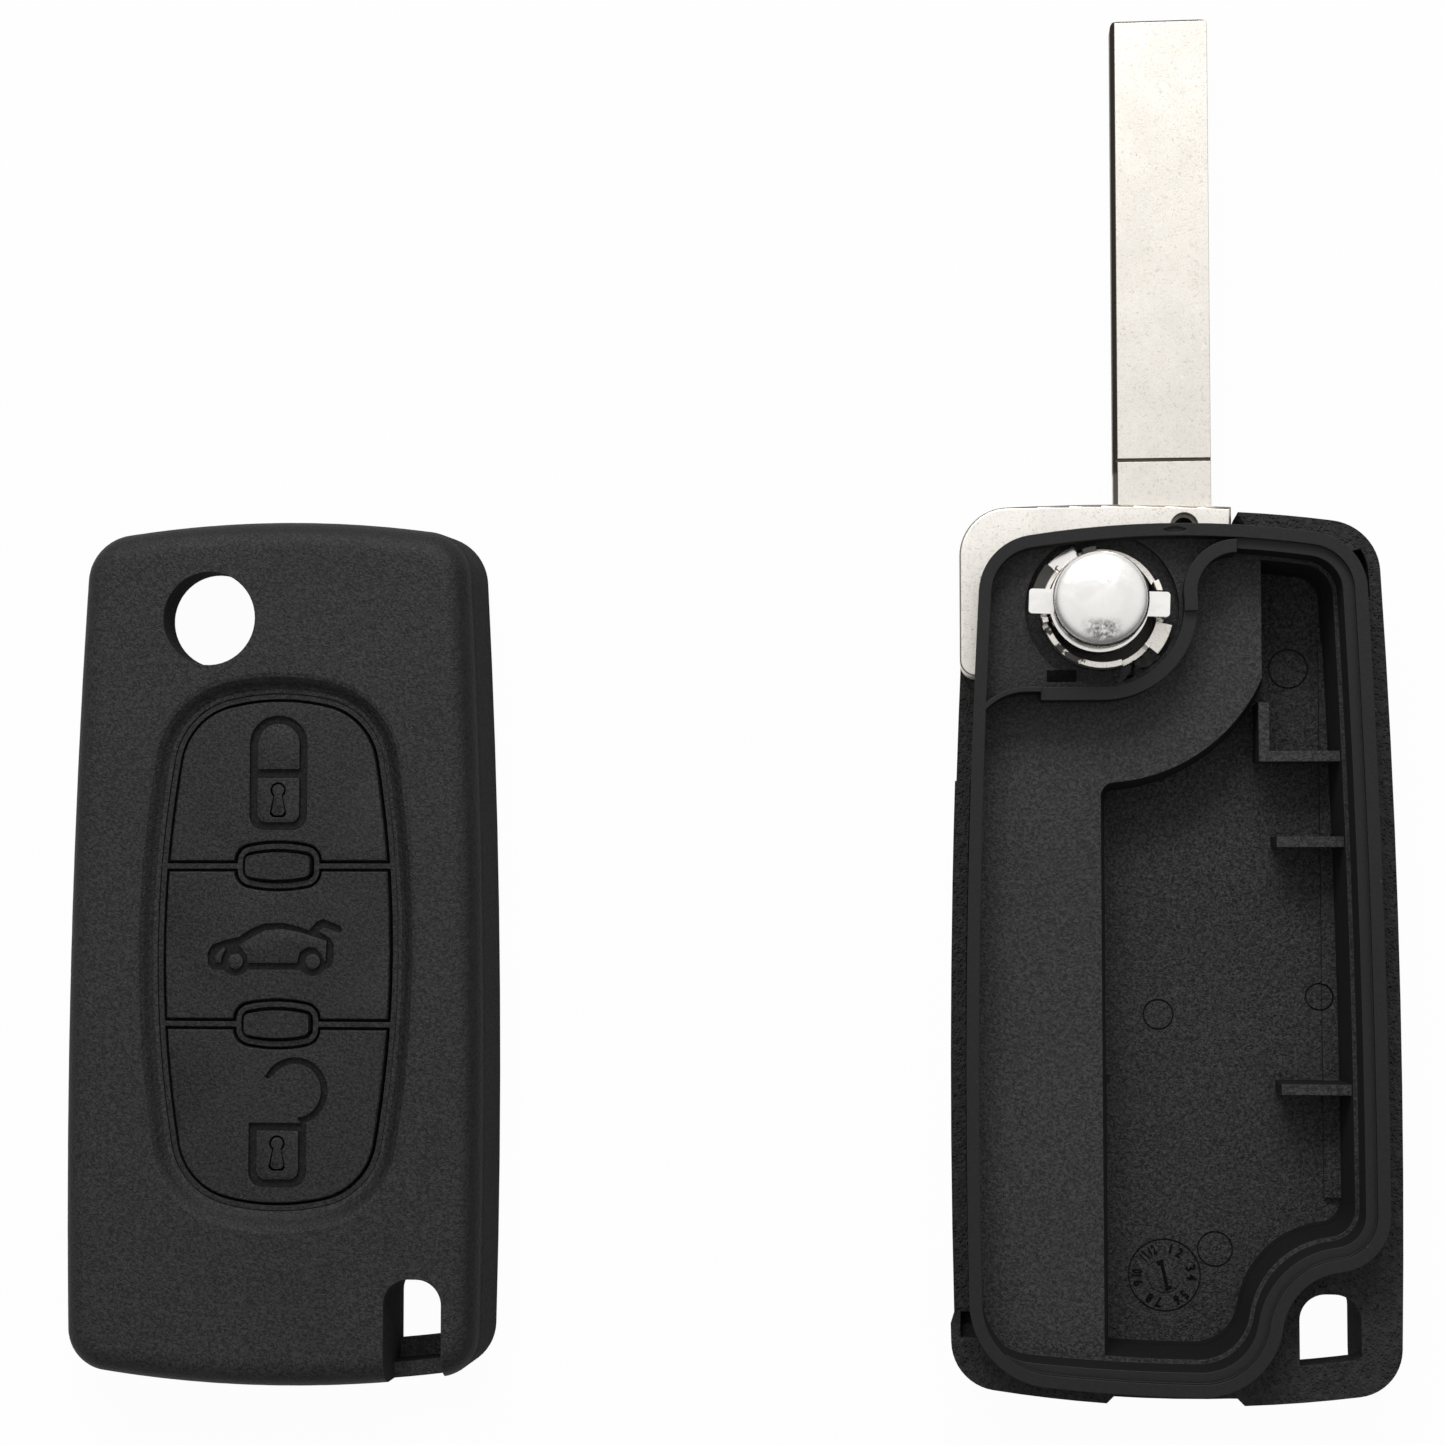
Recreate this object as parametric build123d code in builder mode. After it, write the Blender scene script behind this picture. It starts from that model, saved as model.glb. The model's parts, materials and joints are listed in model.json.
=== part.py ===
"""Flip-key fob shell, opened: the rear half with its blade out and the front cover beside it.

Millimetres, +Z up. The origin is the centre of the rear cover's flat back, +Y points towards
the blade. The front cover lies on its rim to the left, outside face up, as it comes off.
"""
from build123d import *
from math import atan2, cos, degrees, radians, sin, sqrt, tan
import os

os.makedirs("parts", exist_ok=True)

# Outline of the two housing halves
body_length = 76.9
widest_half_width = 19.07
widest_y = -13.0
side_arc_radius = 819.0
top_arc_radius = 97.6
bottom_arc_radius = 110.0
top_corner_radius = 4.6
bottom_corner_radius = 4.1
draft = 2.5

# Heights of the rear half
rear_height = 8.6
rear_floor = 1.8
rear_edge_radius = 2.5
rear_end_inset = 0.5
tray_floor = 2.8
shelf_top = 8.2
shelf_thickness = 1.0
deck_top = 10.3
deck_thickness = 1.6
rim_top = 12.6
ledge_drop = 0.6

# Tray outline and walls
tray_side_inset = 1.65
tray_end_inset = 2.05
tray_left_arc_radius = 777.0
tray_right_arc_radius = 1071.0
tray_top_arc_radius = 80.3
tray_foot_arc_radius = 140.0
tray_top_radius = 5.0
tray_corner_radius = 7.0
tray_clearance = 0.08
rim_width = 1.05
ledge_width = 0.9
ledge_run_out = 1.5
pocket_draft = 6.0
pocket_inset = 0.35
tub_wall = 0.6
tub_edge_x = 7.83
shelf_edge_x = -5.87
shelf_corner_radius = 1.2

# Partition between the deck and the pocket
partition_width = 1.1
partition_radius = 7.35
partition_drop = 0.6
partition_low_start_x = -11.0
partition_low_end_x = 3.0
partition_low_depth = 0.45
thin_partition_width = 0.4
left_bend_x = -12.2
left_bend_radius = 4.55
right_bend_rise = 1.15
right_bend_radius = 3.85

# Curve of the tray round the key-ring hole
keyring_curve_x = 14.0
keyring_curve_rise = 7.05
keyring_curve_radius = 5.5
curve_side_radius = 4.7
curve_foot_radius = 6.75

# Key-ring hole and the bar below it
keyring_x = 12.9
keyring_width = 5.1
keyring_rise = 10.05
keyring_bar_width = 3.1
keyring_arch_radius = 2.2
rear_bar_thickness = 2.6
front_bar_floor = 1.2
front_bar_lip_height = 3.6
front_bar_lip_width = 1.5

# Pivot, blade head and its swing
pivot_x = -5.75
pivot_drop = 9.0
stub_radius = 3.0
stub_height = 1.7
seat_ring_width = 1.5
running_clearance = 0.06
swing_radius = 14.2
head_bottom = 2.0
head_thickness = 5.0
head_left = -12.1
head_right = 11.25
head_top = 9.0
head_top_crown = 0.35
head_foot = -8.5
head_corner_radius = 4.2
head_leg_end = -5.5
head_leg_radius = 1.4
head_leg_width = 1.5
head_step = 1.4
head_edge_radius = 0.25
wall_gap = 0.4

# Hub, crown and teeth
hub_radius = 5.2
hub_bore_radius = 4.7
hub_bore_floor = 4.6
crown_top = 12.0
crown_lower_top = 11.3
crown_lower_sector = (200, 248)
crown_gap_sectors = ((109, 137), (289, 317), (195, 200), (26, 96))
tooth_sectors = ((140, 166), (320, 346))
tooth_reach = 6.1
tooth_drop = 0.1
tooth_lift = 0.15
deck_recess_radius = 6.5
deck_recess_depth = 1.1

# Blade and its pin
blade_offset = 5.48
blade_width = 8.4
blade_thickness = 2.3
blade_bottom = 3.35
blade_length = 52.3
blade_tang = 4.0
blade_tip_radius = 0.7
blade_edge_bevel = 0.4
blade_tip_bevel = 0.6
blade_bevel_depth = 0.3
groove_reach = 13.35
groove_width = 0.3
groove_depth = 0.15
pin_x = 7.25
pin_y = 7.35
pin_radius = 1.2
pin_wall = 0.35
pin_slit = 0.4
pin_recess = 0.8

# Release button and spring
button_play_x = -0.32
button_play_y = 0.28
button_radius = 4.0
button_top = 17.3
button_shoulder = 15.9
button_bulge = 0.72
skirt_radius = 4.18
skirt_bottom = 9.7
ear_reach = 5.9
ear_width = 2.1
ear_top = 12.6
ear_thickness = 1.4
ear_turn = -2.0
ear_gap = 0.2
ear_corner_radius = 0.3
button_wall = 0.5
spring_wire = 0.6
spring_radius = 2.95
spring_turns = 6
spring_gap = 0.05

# Slot for the folded blade in the rear cover
slot_end_rise = 7.15
slot_lip_top = 2.9
slot_lip_x = -16.6
slot_lip_drop = 14.45
slot_pit_x = -18.05
slot_pit_length = 1.2
pry_notch_width = 11.8
pry_notch_depth = 0.75
pry_notch_height = 2.6
corner_pocket_x = 16.2
corner_pocket_rise = 2.9
corner_pocket_radius = 2.1
corner_pocket_wall = 1.0
corner_pocket_depth = 2.4

# Front cover
front_gap = 0.4
front_height = 8.4
front_edge_radius = 2.6
front_ceiling = 6.4
release_hole_radius = 4.15
collar_wall = 1.0
collar_height = 1.4
dish_width = 1.8
dish_depth = 0.95
dish_steps = 5

# Keypad
pad_x = 0.45
pad_half_width = 10.85
pad_half_height = 22.8
pad_side_radius = 103.0
pad_end_radius = 19.3
pad_corner_radius = 6.5
web_clearance = 0.05
web_ridge = 0.45
web_ridge_top = 7.35
web_flange = 1.1
web_bottom = 5.0
web_membrane = 0.55
button_gap = 0.25
keypad_button_top = 7.6
keypad_button_thickness = 1.6
keypad_edge_radius = 0.15
upper_bar_y = 7.5
lower_bar_y = -6.42
nub_width = 5.8
nub_height = 2.4
nub_bow_radius = 12.0
nub_radius = 0.5
nub_top = 7.8
nub_groove = 0.32

# Ribs, steps and ejector marks of the tray's pocket
rib_thickness = 0.9
rib_top = 7.6
rib_end_x = 15.9
corner_rib_x = 8.03
corner_rib_drop = 12.55
corner_rib_length = 4.6
upper_rib_x = 9.0
upper_rib_y = 9.6
lower_rib_x = 9.2
lower_rib_y = -11.4
floor_step_x = 13.2
floor_step = 0.5
floor_step_rise = 17.45
floor_step_drop = 2.45
wall_step_width = 0.85
wall_step_top = 3.5
wall_step_bottom_y = -10.6
wall_step_top_y = 13.5
ejector_depth = 0.2
ejector_line = 0.14
ejector_marks = ((-0.8, -5.4, 1.35), (13.0, -3.8, 1.2))
upper_mark = (10.65, 4.75, 1.75)
lower_mark = (3.9, 12.85, 1.55)
date_wheel_x = -0.45
date_wheel_rise = 10.55
date_wheel_radius = 3.15
lens_x = 0.3
lens_rise = 6.4
lens_width = 0.55
lens_radius = 2.0
lens_depth = 0.3

# Values worked out from the sizes above
half_length = body_length / 2
tray_end = half_length - tray_end_inset
tray_side = widest_half_width - tray_side_inset
pivot_y = half_length - pivot_drop
pivot = (pivot_x, pivot_y)
partition_y = pivot_y - partition_radius
right_bend_y = pivot_y + right_bend_rise
keyring_top = keyring_rise - half_length
keyring_curve_y = keyring_curve_rise - half_length
slot_end_y = slot_end_rise - half_length
tooth_top = deck_top - tooth_drop
blade_tip_y = pivot_y + blade_length
corner_rib_y = pivot_y - corner_rib_drop
reach = 2 * body_length
shelf_bottom = shelf_top - shelf_thickness
deck_bottom = deck_top - deck_thickness
recess_floor = deck_top - deck_recess_depth
head_upper = head_bottom + head_thickness
blade_x = pivot_x + blade_offset
blade_left = blade_x - blade_width / 2
blade_right = blade_x + blade_width / 2
blade_foot_y = pivot_y + head_top - blade_tang
slot_right_x = pivot_x + head_right + wall_gap
button_x = pivot_x + button_play_x
button_y = pivot_y + button_play_y
bar_ys = (upper_bar_y, lower_bar_y)
pin_centre = (pivot_x + pin_x, pivot_y + pin_y)
all_marks = [
    *ejector_marks,
    (upper_mark[0], pivot_y - upper_mark[1], upper_mark[2]),
    (lower_mark[0], lower_mark[1] - half_length, lower_mark[2]),
    (date_wheel_x, date_wheel_rise - half_length, date_wheel_radius),
]
blade_reach = sqrt((blade_right - pivot_x) ** 2 + (blade_tip_y - pivot_y) ** 2)
front_x = pivot_x - blade_reach - front_gap - widest_half_width


def at_height(z):
    """The horizontal plane at height z, centred on the rear cover."""
    return Plane.XY.offset(z)


def at_pivot(z):
    """The horizontal plane at height z, centred on the blade's pivot."""
    return Plane(origin=(pivot_x, pivot_y, z))


def at_front(z):
    """The horizontal plane at height z, centred on the front cover."""
    return Plane(origin=(front_x, 0, z))


def rectangle_between(x0, x1, y0, y1, mode=Mode.ADD):
    """Draw the rectangle between two x and two y values."""
    with Locations(((x0 + x1) / 2, (y0 + y1) / 2)):
        Rectangle(x1 - x0, y1 - y0, mode=mode)


def shared_area(*circles):
    """Sketch the area that circles share, each given by its centre's x, y and its radius."""
    with BuildSketch() as sketch:
        Rectangle(reach, reach)
        for x, y, radius in circles:
            with Locations((x, y)):
                Circle(radius, mode=Mode.INTERSECT)
    return sketch.sketch


def fob_outline(inset=0.0, end_inset=0.0):
    """Sketch the fob's outline, drawn in by an inset, its ends by a further end inset."""
    end_y = half_length - end_inset
    with BuildSketch() as sketch:
        add(
            shared_area(
                (0, end_y - top_arc_radius, top_arc_radius - inset),
                (0, bottom_arc_radius - end_y, bottom_arc_radius - inset),
                (widest_half_width - side_arc_radius, widest_y, side_arc_radius - inset),
                (side_arc_radius - widest_half_width, widest_y, side_arc_radius - inset),
            )
        )
        fillet(vertices().group_by(Axis.Y)[-1], top_corner_radius - inset)
        fillet(vertices().group_by(Axis.Y)[0], bottom_corner_radius - inset)
    return sketch.sketch


def keyring_corner(inset):
    """Sketch the corner that the tray leaves free round the key-ring hole."""
    side_x = tray_side - curve_side_radius
    side_y = keyring_curve_y + sqrt(
        (curve_side_radius + keyring_curve_radius) ** 2 - (keyring_curve_x - side_x) ** 2
    )
    foot_y = curve_foot_radius - tray_end
    foot_x = keyring_curve_x - sqrt(
        (curve_foot_radius + keyring_curve_radius) ** 2 - (foot_y - keyring_curve_y) ** 2
    )
    side_turn = degrees(atan2(keyring_curve_y - side_y, keyring_curve_x - side_x))
    foot_turn = degrees(atan2(foot_y - keyring_curve_y, foot_x - keyring_curve_x))
    with BuildSketch() as sketch:
        with BuildLine():
            side_bend = CenterArc(
                (side_x, side_y), curve_side_radius - inset, 0, side_turn
            )
            CenterArc(
                (keyring_curve_x, keyring_curve_y),
                keyring_curve_radius + inset,
                side_turn + 180,
                foot_turn - side_turn - 180,
            )
            foot_bend = CenterArc(
                (foot_x, foot_y), curve_foot_radius - inset, foot_turn - 180, 90 - foot_turn
            )
            Polyline(
                foot_bend @ 1,
                (foot_x, -reach),
                (reach, -reach),
                (reach, side_y),
                side_bend @ 0,
            )
        make_face()
    return sketch.sketch, (foot_x, side_y)


def tray_outline(inset=0.0):
    """Sketch the tray's outline, drawn in by an inset, which curves round the key-ring hole."""
    corner, (foot_x, side_y) = keyring_corner(inset)
    with BuildSketch() as sketch:
        add(
            shared_area(
                (0, tray_end - tray_top_arc_radius, tray_top_arc_radius - inset),
                (tray_left_arc_radius - tray_side, widest_y, tray_left_arc_radius - inset),
                (tray_side - tray_right_arc_radius, side_y, tray_right_arc_radius - inset),
                (foot_x, tray_foot_arc_radius - tray_end, tray_foot_arc_radius - inset),
            )
        )
        upper_left = vertices().sort_by_distance((-tray_side, tray_end))[0]
        upper_right = vertices().sort_by_distance((tray_side, tray_end))[0]
        fillet((upper_left, upper_right), tray_top_radius - inset)
        lower_left = vertices().sort_by_distance((-tray_side, -tray_end))[0]
        fillet(lower_left, tray_corner_radius - inset)
        add(corner, mode=Mode.SUBTRACT)
    return sketch.sketch


def pad_outline(inset=0.0):
    """Sketch the keypad's oval, drawn in by an inset: flat sides, rounder ends and corners."""
    side_x = pad_half_width - pad_side_radius
    end_y = pad_half_height - pad_end_radius
    side_radius = pad_side_radius - inset
    end_radius = pad_end_radius - inset
    apart = sqrt(side_x**2 + end_y**2)
    along = (side_radius**2 - end_radius**2 + apart**2) / (2 * apart)
    across = sqrt(side_radius**2 - along**2)
    corner_x = side_x * (1 - along / apart) - across * end_y / apart
    corner_y = (along * end_y - across * side_x) / apart
    left, right = pad_x - corner_x, pad_x + corner_x
    with BuildSketch() as sketch:
        with BuildLine():
            ThreePointArc((left, corner_y), (pad_x, pad_half_height - inset), (right, corner_y))
            ThreePointArc(
                (right, corner_y), (pad_x + pad_half_width - inset, 0), (right, -corner_y)
            )
            ThreePointArc(
                (right, -corner_y), (pad_x, inset - pad_half_height), (left, -corner_y)
            )
            ThreePointArc(
                (left, -corner_y), (pad_x - pad_half_width + inset, 0), (left, corner_y)
            )
        make_face()
        fillet(vertices(), pad_corner_radius - inset)
    return sketch.sketch


def wedge(start, end):
    """Sketch the wedge between two angles about the origin, longer than the hub is wide."""
    middle = radians((start + end) / 2)
    length = 4 * hub_radius
    corners = [(0, 0)]
    corners += [(length * cos(radians(start)), length * sin(radians(start)))]
    corners += [(length * cos(middle), length * sin(middle))]
    corners += [(length * cos(radians(end)), length * sin(radians(end)))]
    with BuildSketch() as sketch:
        Polygon(*corners, align=None)
    return sketch.sketch


def deck_side(shift):
    """Sketch the zone on the deck's side of the partition's centre line, moved by shift."""
    left_bend_y = partition_y - left_bend_radius
    right_bend_x = pivot_x + sqrt(
        (partition_radius + right_bend_radius) ** 2 - right_bend_rise**2
    )
    turn = degrees(atan2(right_bend_rise, right_bend_x - pivot_x))
    with BuildSketch() as sketch:
        with BuildLine():
            left_bend = CenterArc(
                (left_bend_x, left_bend_y), left_bend_radius - shift, 180, -90
            )
            Line(left_bend @ 1, (pivot_x, partition_y - shift))
            CenterArc(pivot, partition_radius + shift, -90, 90 + turn)
            right_bend = CenterArc(
                (right_bend_x, right_bend_y), right_bend_radius - shift, 180 + turn, -90 - turn
            )
            Polyline(
                right_bend @ 1,
                (right_bend_x, reach),
                (-reach, reach),
                (-reach, left_bend_y),
                left_bend @ 0,
            )
        make_face()
    return sketch.sketch


def pocket_side(wall):
    """Sketch the deep pocket's side of the tray, widened by a wall towards the blade."""
    radius = swing_radius + tub_wall - wall
    edge_x = tub_edge_x - wall
    left_x = shelf_edge_x - wall
    start_y = pivot_y - sqrt(radius**2 - (edge_x - pivot_x) ** 2)
    end_y = pivot_y - sqrt(radius**2 - (left_x - pivot_x) ** 2)
    middle_angle = radians(-60)
    middle = (pivot_x + radius * cos(middle_angle), pivot_y + radius * sin(middle_angle))
    with BuildSketch() as sketch:
        with BuildLine():
            ThreePointArc((edge_x, start_y), middle, (left_x, end_y))
            Polyline(
                (left_x, end_y),
                (left_x, -reach),
                (reach, -reach),
                (reach, reach),
                (edge_x, reach),
                (edge_x, start_y),
            )
        make_face()
        corner = vertices().sort_by_distance((left_x, end_y))[0]
        fillet(corner, shelf_corner_radius + wall)
    return sketch.sketch


def deep_pocket(inset):
    """Sketch the deep pocket beside the shelf, drawn in by an inset."""
    with BuildSketch() as sketch:
        add(tray_outline(rim_width + ledge_width + pocket_inset + inset))
        add(pocket_side(-inset), mode=Mode.INTERSECT)
    return sketch.sketch


def nub_outline(nub_y, grow):
    """Sketch a nub between two buttons, its long sides bowed, larger by grow on every side."""
    bow_shift = nub_bow_radius - nub_height / 2
    with BuildSketch() as sketch:
        add(
            shared_area(
                (pad_x, nub_y - bow_shift, nub_bow_radius + grow),
                (pad_x, nub_y + bow_shift, nub_bow_radius + grow),
            )
        )
        rectangle_between(
            pad_x - nub_width / 2 - grow,
            pad_x + nub_width / 2 + grow,
            -reach,
            reach,
            mode=Mode.INTERSECT,
        )
        fillet(vertices(), nub_radius + grow)
    return sketch.sketch


def button_outline(bottom_y, top_y):
    """Sketch one keypad button between two heights, clear of the ridges and nubs."""
    with BuildSketch() as sketch:
        add(pad_outline(web_clearance + web_ridge + button_gap))
        rectangle_between(-reach, reach, bottom_y, top_y, mode=Mode.INTERSECT)
        for nub_y in bar_ys:
            add(nub_outline(nub_y, nub_groove + web_ridge + button_gap), mode=Mode.SUBTRACT)
    return sketch.sketch


# Key-ring notch, arched at the top, and the hole that each cover's bar leaves of it
with BuildSketch() as keyring_notch:
    rectangle_between(
        keyring_x - keyring_width / 2, keyring_x + keyring_width / 2, -reach, keyring_top
    )
    fillet(vertices().group_by(Axis.Y)[-1], keyring_arch_radius)

with BuildSketch() as front_keyring_hole:
    add(fob_outline(keyring_bar_width))
    add(keyring_notch.sketch, mode=Mode.INTERSECT)

with BuildSketch() as rear_keyring_hole:
    add(fob_outline(keyring_bar_width, rear_end_inset))
    add(keyring_notch.sketch, mode=Mode.INTERSECT)

# Flat zones of the tray
with BuildSketch() as rim_inside:
    add(tray_outline(rim_width))

with BuildSketch() as ledge_inside:
    add(tray_outline(rim_width + ledge_width))

with BuildSketch() as deck_area:
    add(deck_side(-partition_width / 2))
    add(rim_inside.sketch, mode=Mode.INTERSECT)

with BuildSketch() as deck_and_partition:
    add(deck_side(partition_width / 2))
    rectangle_between(partition_low_start_x, reach, -reach, reach, mode=Mode.INTERSECT)
    add(deck_side(thin_partition_width - partition_width / 2))

# The pocket at shelf level: a ledge inside the rim, which runs out into the rim on the left
with BuildSketch() as pocket_area:
    add(ledge_inside.sketch)
    with Locations((-ledge_run_out, 0)):
        add(ledge_inside.sketch)
    add(rim_inside.sketch, mode=Mode.INTERSECT)
    add(deck_and_partition.sketch, mode=Mode.SUBTRACT)

# Rear cover: a tapered, round-edged shell with the blade's slot down its left side
with BuildPart() as rear_cover:
    with BuildSketch(at_height(0)):
        add(fob_outline(rear_height * tan(radians(draft)), rear_end_inset))
    with BuildSketch(at_height(rear_height)):
        add(fob_outline(0, rear_end_inset))
    loft(ruled=True)
    fillet(edges().group_by(Axis.Z)[0], rear_edge_radius)
    with BuildSketch(at_height(rear_floor)):
        add(tray_outline(-tray_clearance))
        with Locations(pivot):
            Circle(swing_radius)
        rectangle_between(slot_lip_x, slot_right_x, slot_end_y, reach)
        rectangle_between(-reach, slot_right_x, pivot_y - slot_lip_drop, reach)
        rectangle_between(slot_pit_x, slot_lip_x, slot_end_y - slot_pit_length, slot_end_y)
    extrude(amount=rear_height, mode=Mode.SUBTRACT)
    with BuildSketch(at_height(slot_lip_top)):
        rectangle_between(-reach, slot_right_x, slot_end_y, reach)
    extrude(amount=rear_height, mode=Mode.SUBTRACT)
    with BuildSketch(at_height(0)):
        add(rear_keyring_hole.sketch)
    extrude(amount=rear_height, mode=Mode.SUBTRACT)
    with BuildSketch(at_height(rear_height)):
        with Locations((corner_pocket_x, pivot_y + corner_pocket_rise)):
            Circle(corner_pocket_radius)
        add(fob_outline(corner_pocket_wall, rear_end_inset), mode=Mode.INTERSECT)
    extrude(amount=-corner_pocket_depth, mode=Mode.SUBTRACT)
    with BuildSketch(at_height(0)):
        add(keyring_notch.sketch)
    extrude(amount=rear_height - rear_bar_thickness, mode=Mode.SUBTRACT)
    with BuildSketch(at_height(rear_height)):
        with Locations((0, rear_end_inset - half_length)):
            Trapezoid(pry_notch_width + 2 * pry_notch_depth, 2 * pry_notch_depth, 45)
    extrude(amount=-pry_notch_height, mode=Mode.SUBTRACT)
    with BuildSketch(at_pivot(rear_floor)):
        Circle(stub_radius + seat_ring_width)
    extrude(amount=head_bottom - rear_floor - running_clearance)
    with BuildSketch(at_pivot(rear_floor)):
        Circle(stub_radius)
    extrude(amount=stub_height)
rear_cover.part.label = "rear_cover"
export_step(rear_cover.part, "parts/rear_cover.step")

# Inner tray: deck round the pivot, shelf over the folded blade, deep pocket beside it
with BuildPart() as inner_tray:
    with BuildSketch(at_height(shelf_bottom)):
        add(tray_outline())
    extrude(amount=rim_top - shelf_bottom)
    with BuildSketch(at_height(rear_floor)):
        add(tray_outline())
        add(pocket_side(tub_wall), mode=Mode.INTERSECT)
    extrude(amount=shelf_bottom - rear_floor)
    with BuildSketch(at_height(deck_top)):
        add(deck_area.sketch)
    extrude(amount=rim_top - deck_top, mode=Mode.SUBTRACT)
    with BuildSketch(at_height(shelf_bottom)):
        add(deck_area.sketch)
        add(pocket_side(tub_wall), mode=Mode.SUBTRACT)
    extrude(amount=deck_bottom - shelf_bottom, mode=Mode.SUBTRACT)
    with BuildSketch(at_height(rim_top)):
        add(rim_inside.sketch)
        add(deck_and_partition.sketch, mode=Mode.SUBTRACT)
    extrude(amount=-ledge_drop, mode=Mode.SUBTRACT)
    with BuildSketch(at_height(rim_top)):
        rectangle_between(
            partition_low_start_x,
            partition_low_end_x,
            partition_y - left_bend_radius,
            pivot_y - partition_low_depth,
        )
        add(rim_inside.sketch, mode=Mode.INTERSECT)
    extrude(amount=-partition_drop, mode=Mode.SUBTRACT)
    with BuildSketch(at_height(shelf_top)):
        add(pocket_area.sketch)
    extrude(amount=rim_top - shelf_top, mode=Mode.SUBTRACT)
    with BuildSketch(at_height(shelf_top)):
        add(deep_pocket(0))
    with BuildSketch(at_height(tray_floor)):
        add(deep_pocket((shelf_top - tray_floor) * tan(radians(pocket_draft))))
    loft(ruled=True, mode=Mode.SUBTRACT)
    with BuildSketch(at_pivot(deck_top)):
        Circle(deck_recess_radius)
    extrude(amount=-deck_recess_depth, mode=Mode.SUBTRACT)
    with BuildSketch(at_pivot(deck_bottom)):
        for start, end in crown_gap_sectors[:2]:
            add(wedge(start, end))
        Circle(tooth_reach + ear_gap, mode=Mode.INTERSECT)
        Circle(hub_radius + running_clearance)
    extrude(amount=deck_thickness, mode=Mode.SUBTRACT)
    with BuildSketch(at_height(tray_floor)):
        rectangle_between(
            floor_step_x,
            rib_end_x,
            floor_step_rise - half_length,
            pivot_y - floor_step_drop,
        )
    extrude(amount=floor_step)
    with BuildSketch(at_height(tray_floor)):
        rectangle_between(
            shelf_edge_x,
            shelf_edge_x + wall_step_width,
            wall_step_bottom_y,
            wall_step_top_y,
        )
    extrude(amount=wall_step_top - tray_floor)
    with BuildSketch(at_height(tray_floor)):
        rectangle_between(
            corner_rib_x - rib_thickness / 2,
            corner_rib_x + rib_thickness / 2,
            corner_rib_y,
            corner_rib_y + corner_rib_length,
        )
        for rib_x, rib_y in (
            (corner_rib_x - rib_thickness / 2, corner_rib_y),
            (upper_rib_x, upper_rib_y),
            (lower_rib_x, lower_rib_y),
        ):
            rectangle_between(
                rib_x, rib_end_x, rib_y - rib_thickness / 2, rib_y + rib_thickness / 2
            )
    extrude(amount=rib_top - tray_floor)
    with BuildSketch(at_height(tray_floor - ejector_depth)):
        for mark_x, mark_y, mark_radius in all_marks:
            with Locations((mark_x, mark_y)):
                Circle(mark_radius)
                Circle(mark_radius - ejector_line, mode=Mode.SUBTRACT)
    extrude(amount=ejector_depth + floor_step, mode=Mode.SUBTRACT)
    lens_shift = lens_radius - lens_width / 2
    with BuildSketch(at_height(rim_top)):
        add(
            shared_area(
                (lens_x, pivot_y + lens_rise - lens_shift, lens_radius),
                (lens_x, pivot_y + lens_rise + lens_shift, lens_radius),
            )
        )
    extrude(amount=-lens_depth, mode=Mode.SUBTRACT)
inner_tray.part.label = "inner_tray"
export_step(inner_tray.part, "parts/inner_tray.step")

# Blade head: a block that turns on the rear cover's stub, with a castellated hub above it
with BuildPart() as blade_head:
    with BuildSketch(at_pivot(head_bottom)):
        step_x = head_left + head_leg_width
        with BuildLine():
            ThreePointArc(
                (head_left, head_top), (0, head_top + head_top_crown), (head_right, head_top)
            )
            Polyline(
                (head_right, head_top),
                (head_right, head_foot),
                (step_x + head_step, head_foot),
                (step_x, head_foot + head_step),
                (step_x, head_leg_end),
                (head_left, head_leg_end),
                (head_left, head_top),
            )
        make_face()
        fillet(vertices().sort_by_distance((head_left, head_top))[0], head_corner_radius)
        fillet(vertices().sort_by_distance((head_right, head_foot))[0], head_corner_radius)
        fillet(vertices().sort_by_distance((head_left, head_leg_end))[0], head_leg_radius)
    extrude(amount=head_thickness)
    fillet(edges().group_by(Axis.Z)[-1], head_edge_radius)
    with BuildSketch(at_pivot(head_upper)):
        Circle(hub_radius)
    extrude(amount=crown_top - head_upper)
    with BuildSketch(at_pivot(recess_floor + tooth_lift)):
        for start, end in tooth_sectors:
            add(wedge(start, end))
        Circle(tooth_reach, mode=Mode.INTERSECT)
    extrude(amount=tooth_top - recess_floor - tooth_lift)
    with BuildSketch(at_pivot(tooth_top)):
        for start, end in tooth_sectors:
            add(wedge(start, end))
    extrude(amount=crown_top - tooth_top, mode=Mode.SUBTRACT)
    with BuildSketch(at_pivot(crown_lower_top)):
        add(wedge(*crown_lower_sector))
    extrude(amount=crown_top - crown_lower_top, mode=Mode.SUBTRACT)
    with BuildSketch(at_pivot(recess_floor)):
        for start, end in crown_gap_sectors:
            add(wedge(start, end))
    extrude(amount=crown_top - recess_floor, mode=Mode.SUBTRACT)
    with BuildSketch(
        Plane(origin=(button_x, button_y, recess_floor)).rotated((0, 0, ear_turn))
    ):
        Rectangle(4 * ear_reach, ear_width + 2 * ear_gap)
    extrude(amount=crown_top - recess_floor, mode=Mode.SUBTRACT)
    with BuildSketch(at_pivot(hub_bore_floor)):
        Circle(hub_bore_radius)
    extrude(amount=crown_top - hub_bore_floor, mode=Mode.SUBTRACT)
    with BuildSketch(at_pivot(head_bottom)):
        Circle(stub_radius + running_clearance)
    extrude(amount=stub_height + running_clearance, mode=Mode.SUBTRACT)
    with BuildSketch(at_height(blade_bottom)):
        rectangle_between(blade_left, blade_right, blade_foot_y, reach)
    extrude(amount=blade_thickness, mode=Mode.SUBTRACT)
    with BuildSketch(at_height(head_bottom)):
        with Locations(pin_centre):
            Circle(pin_radius)
    extrude(amount=head_thickness, mode=Mode.SUBTRACT)
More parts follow.
